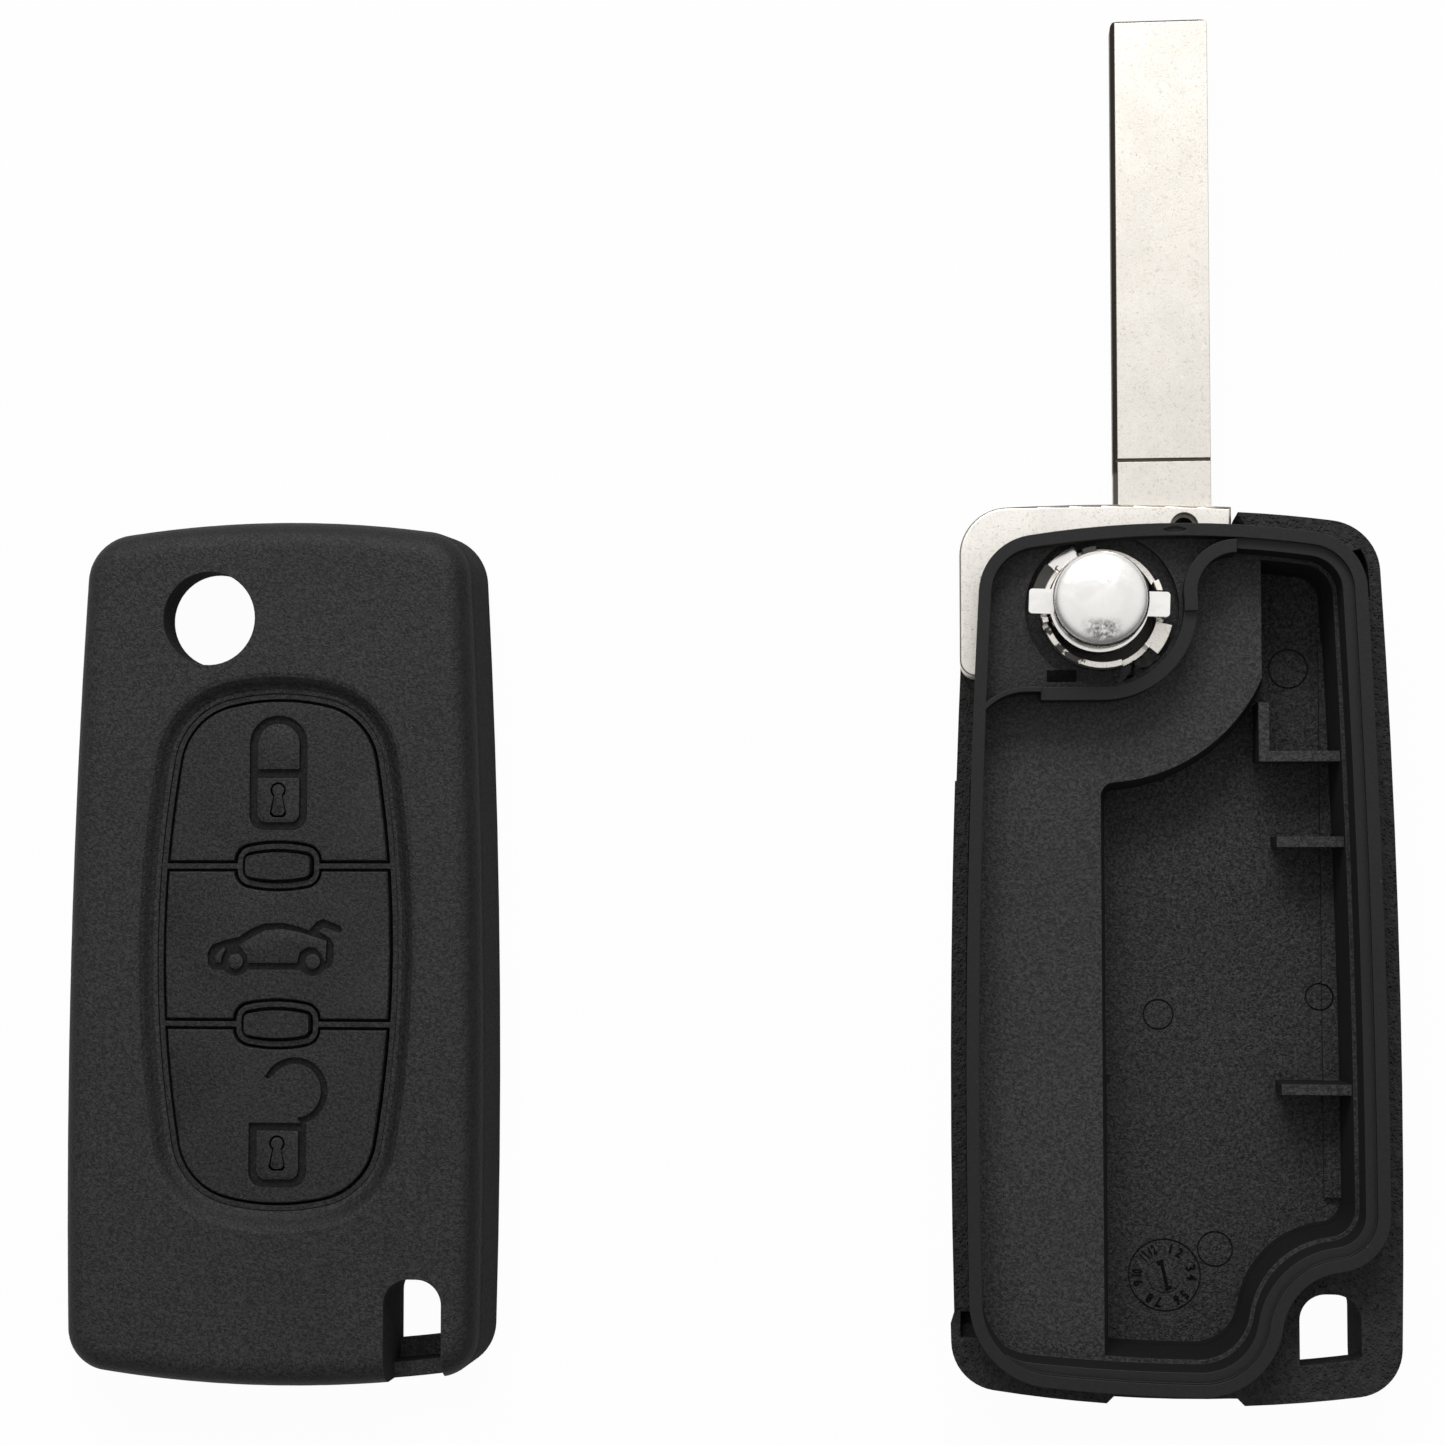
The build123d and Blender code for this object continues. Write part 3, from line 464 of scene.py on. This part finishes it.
def darken_crown(tree, base, position, reach, turn, z):
    """Darken the crown's stub and upper tooth, and break up its lower arc."""
    stub, tooth, arc_part = (
        between(tree, turn, radians(start), radians(end))
        for start, end in (STUB_TURN, TOOTH_TURN, BROKEN_ARC_TURN)
    )
    breaks = ramp(tree, noise(tree, position, 0.8, 3.0, 0.6), 0.46, 0.54)
    upper = calculate(tree, "MAXIMUM", stub, multiply(tree, arc_part, breaks))
    upper = multiply(tree, upper, ramp(tree, z, *CROWN_FOOT))
    tooth = multiply(
        tree, tooth, ramp(tree, reach, *TOOTH_REACH), ramp(tree, z, *TOOTH_FOOT)
    )
    inside = ramp(tree, reach, *CROWN_REACH, 1.0, 0.0)
    dark = multiply(tree, calculate(tree, "MAXIMUM", upper, tooth), inside)
    return coat(tree, base, dark, 0.93, SHADOW_BLACK)


def make_nickel(name, color, roughness, scribble, pits, edge_dark, detail=None):
    """Nickel silver: warm, with fine scribbled scratches, pits, and painted shade on bevels and
    edges.

    detail is "groove" for the blade's dark groove or "crown" for the head's dark crown parts.
    """
    material, tree, shader, position, normal = start_material(name, roughness, 0.5, 1.0)
    x, y, z = split_vector(tree, position)
    upright = split_vector(tree, normal)[2]
    fine = use_group(tree, hairlines, Position=position, Scale=2.2, Width=0.045, Share=0.55)
    wide = use_group(tree, hairlines, Position=position, Scale=0.7, Width=0.007, Share=0.45)
    dots = use_group(tree, specks, Position=position, Scale=1.3, Radius=0.075, Share=pits)
    edges = use_group(tree, rounded_edges, Radius=0.09 * MM)
    patches = noise(tree, position, 0.22, 3.0, 0.55)
    grain = noise(tree, position, 9.0, 3.0, 0.7)

    tone = multiply(
        tree, ramp(tree, patches, 0.3, 0.7, 0.95, 1.03), ramp(tree, grain, 0.3, 0.7, 0.95, 1.04)
    )
    base = tinted(tree, color, tone)
    base = coat(tree, base, fine["Mask"], scribble, SCRATCH_BROWN)
    base = coat(tree, base, wide["Mask"], 0.35, SCRATCH_WHITE)
    base = coat(tree, base, dots["Mask"], 0.75, PIT_BROWN)
    # Painted shade: tilted bevels and edges are darkened
    bevel = multiply(
        tree, ramp(tree, upright, 0.25, 0.5), ramp(tree, upright, 0.8, 0.97, 1.0, 0.0)
    )
    bevel_and_edge_shade = calculate(tree, "MAXIMUM", bevel, edges["Mask"])
    base = coat(tree, base, bevel_and_edge_shade, edge_dark, DARK_NICKEL)
    if detail == "groove":
        sunk = ramp(tree, z, blade_top - 0.08, blade_top - 0.02, 1.0, 0.0)
        groove = multiply(tree, sunk, ramp(tree, y, pivot_y + 12, pivot_y + 12.5))
        base = coat(tree, base, groove, 0.95, DARK_NICKEL)

    along = calculate(tree, "SUBTRACT", x, pivot_x)
    aside = calculate(tree, "SUBTRACT", y, pivot_y)
    squared = calculate(tree, "MULTIPLY_ADD", along, along, multiply(tree, aside, aside))
    reach = calculate(tree, "SQRT", squared)
    well = multiply(
        tree, ramp(tree, reach, *WELL_REACH, 1.0, 0.0), ramp(tree, z, *RIM_TOP, 1.0, 0.0)
    )
    base = coat(tree, base, well, 0.93, SHADOW_BLACK)
    if detail == "crown":
        turn = calculate(tree, "ARCTAN2", aside, along)
        base = darken_crown(tree, base, position, reach, turn, z)
    tree.links.new(base, shader.inputs["Base Color"])

    rough = ramp(tree, grain, 0.3, 0.7, roughness - 0.05, roughness + 0.06)
    rough = calculate(tree, "ADD", rough, multiply(tree, dots["Mask"], 0.2))
    tree.links.new(rough, shader.inputs["Roughness"])
    sunk_marks = calculate(tree, "ADD", multiply(tree, fine["Mask"], 0.4), dots["Mask"])
    relief = calculate(tree, "SUBTRACT", multiply(tree, grain, 0.35), sunk_marks)
    add_bump(tree, shader, relief, 0.00001, 0.6, edges["Normal"])
    return material


def make_release_metal():
    """Release button: polished dome with soft smears and a dark rubbed patch, satin ears."""
    material, tree, shader, position, _ = start_material("release_button_nickel", 0.24, 0.5, 1.0)
    x, y, z = split_vector(tree, position)
    dots = use_group(tree, specks, Position=position, Scale=1.6, Radius=0.09, Share=0.14)
    smear = noise(tree, position, 0.55, 4.0, 0.6, 0.8)
    mottle = noise(tree, position, 1.9, 5.0, 0.72)
    across = calculate(tree, "ABSOLUTE", calculate(tree, "SUBTRACT", x, dome_x + 0.05))
    down = calculate(tree, "ABSOLUTE", calculate(tree, "SUBTRACT", y, dome_y - 2.7))
    patch = multiply(
        tree,
        ramp(tree, across, 0.5, 2.0, 1.0, 0.0), ramp(tree, down, 0.35, 1.2, 1.0, 0.0),
        ramp(tree, z, *DOME_SIDE), ramp(tree, mottle, 0.36, 0.6),
    )
    base = tinted(tree, DOME_NICKEL, ramp(tree, smear, 0.3, 0.7, 0.95, 1.02))
    base = coat(tree, base, patch, 0.85, RUBBED_GREY)
    base = coat(tree, base, dots["Mask"], 0.6, DOME_PIT)
    tree.links.new(base, shader.inputs["Base Color"])
    rough = ramp(tree, smear, 0.3, 0.7, 0.22, 0.32)
    rough = calculate(tree, "MULTIPLY_ADD", patch, 0.25, rough)
    tree.links.new(rough, shader.inputs["Roughness"])
    relief = calculate(tree, "SUBTRACT", mottle, dots["Mask"])
    add_bump(tree, shader, relief, 0.000008, 0.5)
    return material


def make_button_rubber():
    """Button rubber: grained top, painted shade in the engraved sign and down the sides, painted
    highlights on edges.
    """
    material, tree, shader, position, normal = start_material("keypad_button_rubber", 0.6, 0.28)
    grain = use_group(tree, moulded_grain, Position=position, Scale=4.2)
    dust = use_group(tree, specks, Position=position, Scale=0.5, Radius=0.04, Share=0.35)
    edges = use_group(tree, rounded_edges, Radius=0.09 * MM)
    z = split_vector(tree, position)[2]
    upright = split_vector(tree, normal)[2]
    # Painted shade: darker deeper in the sign and on steep sides
    depth = ramp(tree, z, keypad_top - 0.3, keypad_top - 0.04, 0.42, 1.0)
    shade_tone = multiply(tree, depth, ramp(tree, upright, 0.3, 0.8, 0.15, 1.0))
    base = tinted(tree, BLACK_RUBBER, multiply(tree, grain["Tone"], shade_tone))
    base = coat(tree, base, dust["Mask"], 0.4, DUST)
    # Painted highlight: edges are lightened
    base = coat(tree, base, edges["Mask"], 0.4, EDGE_HIGHLIGHT_GREY)
    tree.links.new(base, shader.inputs["Base Color"])
    tree.links.new(ramp(tree, shade_tone, 0.4, 1.0, 0.8, 0.54), shader.inputs["Roughness"])
    add_bump(tree, shader, grain["Height"], 0.00009, over=edges["Normal"])
    return material


def make_wheel_plastic():
    """Smooth, darker plastic of the date insert."""
    material, tree, shader, position, _ = start_material("date_wheel_plastic", 0.75, 0.08)
    grain = use_group(tree, moulded_grain, Position=position, Scale=4.0)
    tree.links.new(tinted(tree, WHEEL_BLACK, grain["Tone"]), shader.inputs["Base Color"])
    add_bump(tree, shader, grain["Height"], 0.00004, 0.8)
    return material


materials = {
    "front_cover": make_shell_plastic(
        "front_cover_plastic", BLACK_PLASTIC, roughness=0.56, grain_scale=3.6
    ),
    "rear_cover": make_rear_plastic(),
    "inner_tray": make_tray_plastic(),
    "keypad_web": make_shell_plastic(
        "keypad_web_rubber", BLACK_RUBBER, roughness=0.6, grain_scale=4.0, specular=0.28
    ),
    "blade": make_nickel(
        "blade_nickel", BLADE_NICKEL,
        roughness=0.42, scribble=0.55, pits=0.08, edge_dark=0.85, detail="groove",
    ),
    "blade_head": make_nickel(
        "head_nickel", HEAD_NICKEL,
        roughness=0.42, scribble=0.5, pits=0.25, edge_dark=0.7, detail="crown",
    ),
    "blade_pin": make_nickel(
        "pin_steel", PIN_STEEL, roughness=0.45, scribble=0.2, pits=0.1, edge_dark=0.5
    ),
    "release_spring": make_nickel(
        "spring_steel", SPRING_STEEL, roughness=0.35, scribble=0.1, pits=0.05, edge_dark=0.0
    ),
    "release_button": make_release_metal(),
}
button_rubber = make_button_rubber()
# Black film, and the black sheet painting shade in the deck's cut-outs
film_and_shade_plastic = make_shell_plastic("film_and_shade_plastic", FILM_AND_SHADE_BLACK, roughness=0.35, grain_scale=1.2)
wheel_plastic = make_wheel_plastic()
for name, material in materials.items():
    nodes[name].data.materials.clear()
    nodes[name].data.materials.append(material)


# Outlines: lists of points in mm
def arc(x, y, radius, start, end, steps=10):
    """Points along an arc, angles in degrees."""
    turns = [radians(start + (end - start) * step / steps) for step in range(steps + 1)]
    return [(x + radius * cos(turn), y + radius * sin(turn)) for turn in turns]


def rounded_box(x0, x1, y0, y1, top_radius, foot_radius):
    """Outline of a box with its own corner radius at the top and at the foot."""
    return [
        *arc(x1 - foot_radius, y0 + foot_radius, foot_radius, -90, 0),
        *arc(x1 - top_radius, y1 - top_radius, top_radius, 0, 90),
        *arc(x0 + top_radius, y1 - top_radius, top_radius, 90, 180),
        *arc(x0 + foot_radius, y0 + foot_radius, foot_radius, 180, 270),
    ]


def keyhole_outline(x, top_y, grow=0.0):
    """Outline of a keyhole: a round head over a flared foot."""
    foot_y = top_y - 2.3 - grow
    half_foot = 0.66 + grow
    return [
        *arc(x, top_y, 0.6 + grow, -52, 232, 18),
        (x - half_foot, foot_y + 0.3),
        (x - half_foot + 0.2, foot_y + 0.05),
        (x - half_foot + 0.45, foot_y),
        (x + half_foot - 0.45, foot_y),
        (x + half_foot - 0.2, foot_y + 0.05),
        (x + half_foot, foot_y + 0.3),
    ]


def ring_part(inner, outer, start, end):
    """Outline of part of a ring about the blade's pivot."""
    return [
        *arc(pivot_x, pivot_y, outer, start, end),
        *arc(pivot_x, pivot_y, inner, end, start),
    ]


# Mesh helpers
def add_prism(form, outline, low, high, soften=0.0):
    """Add an upright block over an outline, between two heights in mm, its top edge softened."""
    corners = [form.verts.new((x * MM, y * MM, low * MM)) for x, y in outline]
    face = form.faces.new(corners)
    grown = bmesh.ops.extrude_face_region(form, geom=[face])["geom"]
    top = [item for item in grown if isinstance(item, bmesh.types.BMVert)]
    bmesh.ops.translate(form, verts=top, vec=(0, 0, (high - low) * MM))
    if soften:
        held = set(top)
        rim = [edge for edge in form.edges if edge.verts[0] in held and edge.verts[1] in held]
        bmesh.ops.bevel(
            form, geom=rim, offset=soften * MM, offset_type="OFFSET", affect="EDGES",
            segments=2, profile=0.5, material=-1,
        )


def shade(mesh):
    """Shade the curved faces smooth and the level ones flat."""
    if "custom_normal" in mesh.attributes:
        mesh.attributes.remove(mesh.attributes["custom_normal"])
    mesh.shade_smooth()
    for face in mesh.polygons:
        face.use_smooth = abs(face.normal.z) < 0.999
    mesh.set_sharp_from_angle(angle=radians(35))


def new_piece(name, form, material, body):
    """Turn a bmesh into a piece that rides on a body."""
    bmesh.ops.recalc_face_normals(form, faces=form.faces)
    mesh = bpy.data.meshes.new(name)
    form.to_mesh(mesh)
    form.free()
    piece = bpy.data.objects.new(name, mesh)
    scene.collection.objects.link(piece)
    mesh.materials.append(material)
    shade(mesh)
    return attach(piece, body)


def new_block(name, outline, low, high, soften, material, body):
    """Add a piece that is one upright block over an outline."""
    form = bmesh.new()
    add_prism(form, outline, low, high, soften)
    return new_piece(name, form, material, body)


def merged_copy(node):
    """Return a bmesh copy of a solid with its loose triangles joined."""
    form = bmesh.new()
    form.from_mesh(nodes[node].data)
    bmesh.ops.remove_doubles(form, verts=form.verts, dist=0.00001)
    return form


def carve(piece, outlines, low, high):
    """Cut pits with the given outlines into a piece."""
    for outline in outlines:
        form = bmesh.new()
        add_prism(form, outline, low, high)
        bmesh.ops.recalc_face_normals(form, faces=form.faces)
        mesh = bpy.data.meshes.new("cutter")
        form.to_mesh(mesh)
        form.free()
        cutter = bpy.data.objects.new("cutter", mesh)
        scene.collection.objects.link(cutter)
        cut = piece.modifiers.new("pit", "BOOLEAN")
        cut.operation = "DIFFERENCE"
        cut.solver = "EXACT"
        cut.object = cutter
        bpy.context.view_layer.update()
        shown = piece.evaluated_get(bpy.context.evaluated_depsgraph_get())
        carved = bpy.data.meshes.new_from_object(shown)
        piece.modifiers.clear()
        piece.data = carved
        bpy.data.objects.remove(cutter)


# Keypad buttons with engraved signs, drawn about the front cover's middle
SIGN_DEPTH = 0.34
ISLAND_ROOT, ISLAND_SOFTNESS = 0.15, 0.05
KEYHOLE_GAP, KEYHOLE_INSET, KEYHOLE_DROP = 0.1, 0.06, 0.03
CUT_ABOVE = 1


def engraved_button(node, body, pits, islands, keyholes):
    """A keypad button with a sign engraved in its top: pits, with raised islands in them."""
    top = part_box(node)[1].z / MM
    floor = top - SIGN_DEPTH

    def place(outline):
        """Move an outline to the front cover's middle."""
        return [(x + cover_x, y) for x, y in outline]

    piece = new_piece(node + "_cap", merged_copy(node), button_rubber, body)
    carve(piece, [place(outline) for outline in pits], floor, top + CUT_ABOVE)
    sign = bmesh.new()
    for outline in islands:
        add_prism(sign, place(outline), floor - ISLAND_ROOT, top, ISLAND_SOFTNESS)
    plain = new_piece(node + "_sign", sign, button_rubber, body)
    for x, y in keyholes:
        carve(plain, [place(keyhole_outline(x, y, KEYHOLE_GAP))], floor, top + CUT_ABOVE)
        new_block(
            node + "_keyhole", place(keyhole_outline(x, y, -KEYHOLE_INSET)),
            low=floor - 0.1, high=top - KEYHOLE_DROP, soften=0.04,
            material=button_rubber, body=body,
        )
    for made in (piece, plain):
        shade(made.data)
    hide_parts(node)


# Closed padlock
engraved_button(
    "lock_button",
    "lock",
    [rounded_box(-2.15, 3.05, 10.65, 20.8, 2.5, 1.35)],
    [
        rounded_box(-1.45, 2.35, 16.05, 20.1, 1.85, 0.2),
        rounded_box(-1.45, 2.35, 11.35, 15.3, 0.2, 0.85),
    ],
    [(0.42, 14.2)],
)

# Car with its boot open
FRONT_WHEEL_X, BACK_WHEEL_X, WHEELS_Y = -3.3, 3.65, -0.9
ARCH_RADIUS, TYRE_RADIUS = 1.3, 0.68
car_body = [
    (-5.35, -1.65), (-5.75, -1.2), (-5.85, -0.2), (-5.4, 0.55), (-4.3, 0.95), (-3.0, 1.25),
    (-2.0, 1.9), (-0.7, 2.45), (0.9, 2.5), (2.3, 2.2), (3.3, 1.85), (4.0, 2.6), (4.55, 2.85),
    (6.15, 2.25), (6.3, 1.85), (6.05, 1.6), (4.65, 2.1), (4.2, 1.75), (5.15, 1.2), (5.55, 0.6),
    (5.5, -1.0), (5.1, -1.5), (4.75, -1.6),
    *arc(BACK_WHEEL_X, WHEELS_Y, ARCH_RADIUS, -38, -142, 8),
    (2.0, -1.65), (-1.95, -1.65),
    *arc(FRONT_WHEEL_X, WHEELS_Y, ARCH_RADIUS, -38, -142, 8),
]
side_panel = [
    (-2.2, -1.05), (-2.3, -0.4), (-3.0, 0.55), (-2.5, 0.85), (-1.7, 1.3), (-0.6, 1.85),
    (0.9, 1.95), (2.4, 1.7), (4.9, 0.95), (4.85, -0.85), (4.7, -0.95), (4.45, -0.35), (3.9, 0.3),
    (3.2, 0.35), (2.5, -0.1), (2.25, -1.05),
]
headlight = [
    (-5.1, -1.0), (-5.2, -0.4), (-4.4, 0.35), (-4.15, 0.2), (-4.5, -0.4), (-4.6, -1.05),
]
engraved_button(
    "boot_button",
    "boot",
    [car_body],
    [
        side_panel,
        headlight,
        arc(FRONT_WHEEL_X, WHEELS_Y, TYRE_RADIUS, 0, 342, 19),
        arc(BACK_WHEEL_X, WHEELS_Y, TYRE_RADIUS, 0, 342, 19),
    ],
    [],
)

# Open padlock
hook = [
    *arc(2.15, -12.25, 2.95, -78, 155, 26),
    *arc(-0.27, -10.87, 0.33, 150, 340, 6),
    *arc(2.15, -12.25, 2.35, 148, -85, 26),
]
engraved_button(
    "unlock_button",
    "unlock",
    [rounded_box(-1.97, 3.2, -20.7, -15.05, 0.15, 1.35), hook],
    [rounded_box(-1.27, 2.5, -20.0, -15.72, 0.2, 0.85)],
    [(0.58, -16.85)],
)


# Release spring: a copy of the solid's coil, riding on the blade unit
spring = new_piece(
    "release_coil", merged_copy("release_spring"), materials["release_spring"],
    "blade_unit",
)
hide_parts("release_spring")
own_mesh(spring)


# Black sheet under the deck's two cut-outs round the hub: painted shade in them
SHADE_SHEET_INNER, SHADE_SHEET_OUTER = 5.3, 6.4
SHADE_SHEET_FOOT, SHADE_SHEET_TOP = 8.6, 8.68
shade_sheet = bmesh.new()
for start, end in ((107, 139), (287, 319)):
    add_prism(shade_sheet, ring_part(SHADE_SHEET_INNER, SHADE_SHEET_OUTER, start, end), SHADE_SHEET_FOOT, SHADE_SHEET_TOP)
new_piece("cut_out_shade_sheet", shade_sheet, film_and_shade_plastic, "shell")

# Upper tooth of the crown, bent towards the top of the fob
new_block(
    "crown_tooth", ring_part(4.74, 5.95, 113, 141), low=9.8, high=10.4, soften=0.12,
    material=materials["release_button"], body="blade_unit",
)

# Torn scrap of black film, crumpled along the edge of the lower cut-out, in the sheet's material
SCRAP_START, SCRAP_SWEEP = 280, 41
SCRAP_INNER, SCRAP_HEIGHT, SCRAP_THICKNESS = 5.25, 9.36, 0.06
scrap = bmesh.new()
bmesh.ops.create_grid(scrap, x_segments=14, y_segments=3, size=0.5)
for vertex in scrap.verts:
    along, aside = vertex.co.x + 0.5, vertex.co.y + 0.5
    turn = radians(SCRAP_START + SCRAP_SWEEP * along)
    reach = SCRAP_INNER + aside * (1.0 + 0.2 * sin(9 * along)) + 0.12 * sin(21 * along)
    lift = SCRAP_HEIGHT + 0.1 * sin(17 * along + 5 * aside) + 0.22 * (1 - aside) * sin(6 * along)
    vertex.co = ((pivot_x + reach * cos(turn)) * MM, (pivot_y + reach * sin(turn)) * MM, lift * MM)
bmesh.ops.solidify(scrap, geom=scrap.faces[:], thickness=SCRAP_THICKNESS * MM)
new_piece("film_scrap", scrap, film_and_shade_plastic, "shell")


# Date wheel on the pocket floor: slotted disc inside a ring of numbers
WHEEL_X, WHEEL_Y, WHEEL_Z = -0.45, -27.9, 2.8
DISC_RADIUS, NUMBER_REACH = 1.48, 2.3
FIRST_PAIR_TURN, PAIR_STEP, HALF_PAIR = 66.5, 60, 10
new_block(
    "date_wheel_disc", arc(WHEEL_X, WHEEL_Y, DISC_RADIUS, 0, 350, 35),
    low=WHEEL_Z - 0.1, high=WHEEL_Z + 0.1, soften=0.06,
    material=materials["inner_tray"], body="shell",
)
slot_turn = Matrix.Rotation(radians(12), 2)
slot_outline = []
for corner in (
    (-0.15, -1.35), (0.42, -1.2), (0.42, -0.95), (0.17, -0.95),
    (0.15, 1.4), (-0.45, 1.3), (-0.4, 1.0), (-0.15, 0.9),
):
    x, y = slot_turn @ Vector(corner)
    slot_outline.append((WHEEL_X + x, WHEEL_Y + y))
new_block(
    "date_wheel_arrow", slot_outline, low=WHEEL_Z, high=WHEEL_Z + 0.12, soften=0.02,
    material=wheel_plastic, body="shell",
)


def number_mesh(number):
    """Return the mesh of a number on the date wheel, from 1 to 12, set in six pairs."""
    index = number - 1
    turn = FIRST_PAIR_TURN - PAIR_STEP * (index // 2)
    turn += HALF_PAIR if index % 2 == 0 else -HALF_PAIR
    lettering = bpy.data.curves.new("number", "FONT")
    lettering.body = str(number)
    lettering.size = 1.15
    lettering.align_x = "CENTER"
    lettering.align_y = "CENTER"
    lettering.extrude = 0.06
    lettering.offset = 0.035
    lettering.resolution_u = 3
    written = bpy.data.objects.new("number", lettering)
    scene.collection.objects.link(written)
    bpy.context.view_layer.update()
    shown = written.evaluated_get(bpy.context.evaluated_depsgraph_get())
    mesh = bpy.data.meshes.new_from_object(shown)
    bpy.data.objects.remove(written)
    narrow = 0.8 if number < 10 else 0.6
    squeeze = Matrix.Diagonal((narrow, 1.0, 1.0, 1.0))
    outward = Matrix.Rotation(radians(turn - 90), 4, "Z")
    mesh.transform(
        Matrix.Scale(MM, 4) @ Matrix.Translation((WHEEL_X, WHEEL_Y, WHEEL_Z + 0.02)) @ outward
        @ Matrix.Translation((0, NUMBER_REACH, 0)) @ squeeze
    )
    return mesh


numbers = bmesh.new()
for number in range(1, 13):
    numbers.from_mesh(number_mesh(number))
bmesh.ops.remove_doubles(numbers, verts=numbers.verts, dist=0.000001)
new_piece("date_wheel_numbers", numbers, wheel_plastic, "shell")

# Small dark block on the deck beside the partition: painted shade of a shallow notch in the deck
new_block(
    "deck_notch_shade", rounded_box(-10.45, -7.95, 23.2, 24.2, 0.12, 0.12),
    low=10.2, high=10.33, soften=0.02,
    material=wheel_plastic, body="shell",
)


# Studio: white floor, one large overhead soft box, one main light from the top of the picture
FLOOR_SEEN, FLOOR_MIRRORED = 0.97, 0.35
FLOOR_HALF_SIDE, FLOOR_DROP = 12, 0.0002


def make_floor_material():
    """White floor that keeps a soft shadow, white to the camera and weaker in reflections."""
    material = bpy.data.materials.new("studio_floor")
    material.use_nodes = True
    tree = material.node_tree
    tree.nodes.clear()
    end = add_node(tree, "OutputMaterial")
    lit = add_node(tree, "BsdfDiffuse")
    lit.inputs["Color"].default_value = (0.9, 0.9, 0.9, 1)
    glow = add_node(tree, "Emission")
    blend = add_node(tree, "MixShader")
    rays = add_node(tree, "LightPath")
    mirrored = multiply(tree, rays.outputs["Is Glossy Ray"], FLOOR_MIRRORED)
    seen = calculate(tree, "MAXIMUM", rays.outputs["Is Camera Ray"], mirrored)
    seen = calculate(tree, "MAXIMUM", seen, rays.outputs["Is Transmission Ray"])
    tree.links.new(multiply(tree, seen, FLOOR_SEEN), blend.inputs[0])
    tree.links.new(lit.outputs[0], blend.inputs[1])
    tree.links.new(glow.outputs[0], blend.inputs[2])
    tree.links.new(blend.outputs[0], end.inputs["Surface"])
    return material


floor_form = bmesh.new()
bmesh.ops.create_grid(floor_form, x_segments=1, y_segments=1, size=FLOOR_HALF_SIDE)
floor_mesh = bpy.data.meshes.new("studio_floor")
floor_form.to_mesh(floor_mesh)
floor_form.free()
floor_mesh.transform(Matrix.Translation((0, 0, -FLOOR_DROP)))
floor = bpy.data.objects.new("studio_floor", floor_mesh)
scene.collection.objects.link(floor)
floor_mesh.materials.append(make_floor_material())

# World: plain light on surfaces, white to the camera, darker near the horizon in reflections
SKY_LIGHT, SKY_SEEN = 0.16, 1.0
SKY_LOW, SKY_HIGH = 0.2, 0.92
world = bpy.data.worlds.new("studio")
scene.world = world
world.use_nodes = True
sky = world.node_tree
backdrop = sky.nodes["Background"]
backdrop.inputs["Color"].default_value = (0.98, 0.985, 1, 1)
way = split_vector(sky, add_node(sky, "TexCoord").outputs["Generated"])
rays = add_node(sky, "LightPath")
upward = calculate(sky, "MULTIPLY_ADD", way[1], 0.5, multiply(sky, way[2], 0.87))
reflected = calculate(
    sky, "MAXIMUM", rays.outputs["Is Glossy Ray"], rays.outputs["Is Transmission Ray"]
)
unseen = mix_values(sky, reflected, SKY_LIGHT, ramp(sky, upward, 0.05, 0.8, SKY_LOW, SKY_HIGH))
level = mix_values(sky, rays.outputs["Is Camera Ray"], unseen, SKY_SEEN)
sky.links.new(level, backdrop.inputs["Strength"])


def add_soft_box(name, place, target, width, height, power):
    """Hang a rectangular light and turn it to a target."""
    lamp = bpy.data.lights.new(name, "AREA")
    lamp.shape = "RECTANGLE"
    lamp.size = width
    lamp.size_y = height
    lamp.energy = power
    holder = bpy.data.objects.new(name, lamp)
    scene.collection.objects.link(holder)
    holder.location = place
    holder.rotation_euler = (Vector(target) - Vector(place)).to_track_quat("-Z", "Y").to_euler()
    return holder


middle = Vector((-0.039, 0.02, 0))
overhead = add_soft_box(
    "overhead_box", middle + Vector((0.0, 0.1, 0.5)), middle, width=0.6, height=0.5, power=0.72
)
overhead.visible_glossy = False
add_soft_box(
    "main_light", middle + Vector((-0.03, 0.44, 0.4)), middle, width=0.34, height=0.2, power=2.0
)

# Camera: nearly straight above, with both groups in the picture
IMAGE_SIDE = 1445
PIXELS_PER_MM = 11.1
SENSOR_WIDTH = 36
camera_place = Vector((-0.0165, 0.0085, 0.235))
camera_target = Vector((-0.0392, 0.0204, 0))
camera_distance = (camera_target - camera_place).length / MM
camera = bpy.data.cameras.new("camera")
camera.sensor_width = SENSOR_WIDTH
camera.lens = SENSOR_WIDTH * PIXELS_PER_MM * camera_distance / IMAGE_SIDE
camera.clip_start = 0.01
eye = bpy.data.objects.new("camera", camera)
scene.collection.objects.link(eye)
eye.location = camera_place
ahead = (camera_target - camera_place).normalized()
across = ahead.cross(Vector((0, 1, 0))).normalized()
eye.rotation_euler = Matrix((across, across.cross(ahead), -ahead)).transposed().to_euler()
scene.camera = eye
scene.view_settings.view_transform = "Standard"
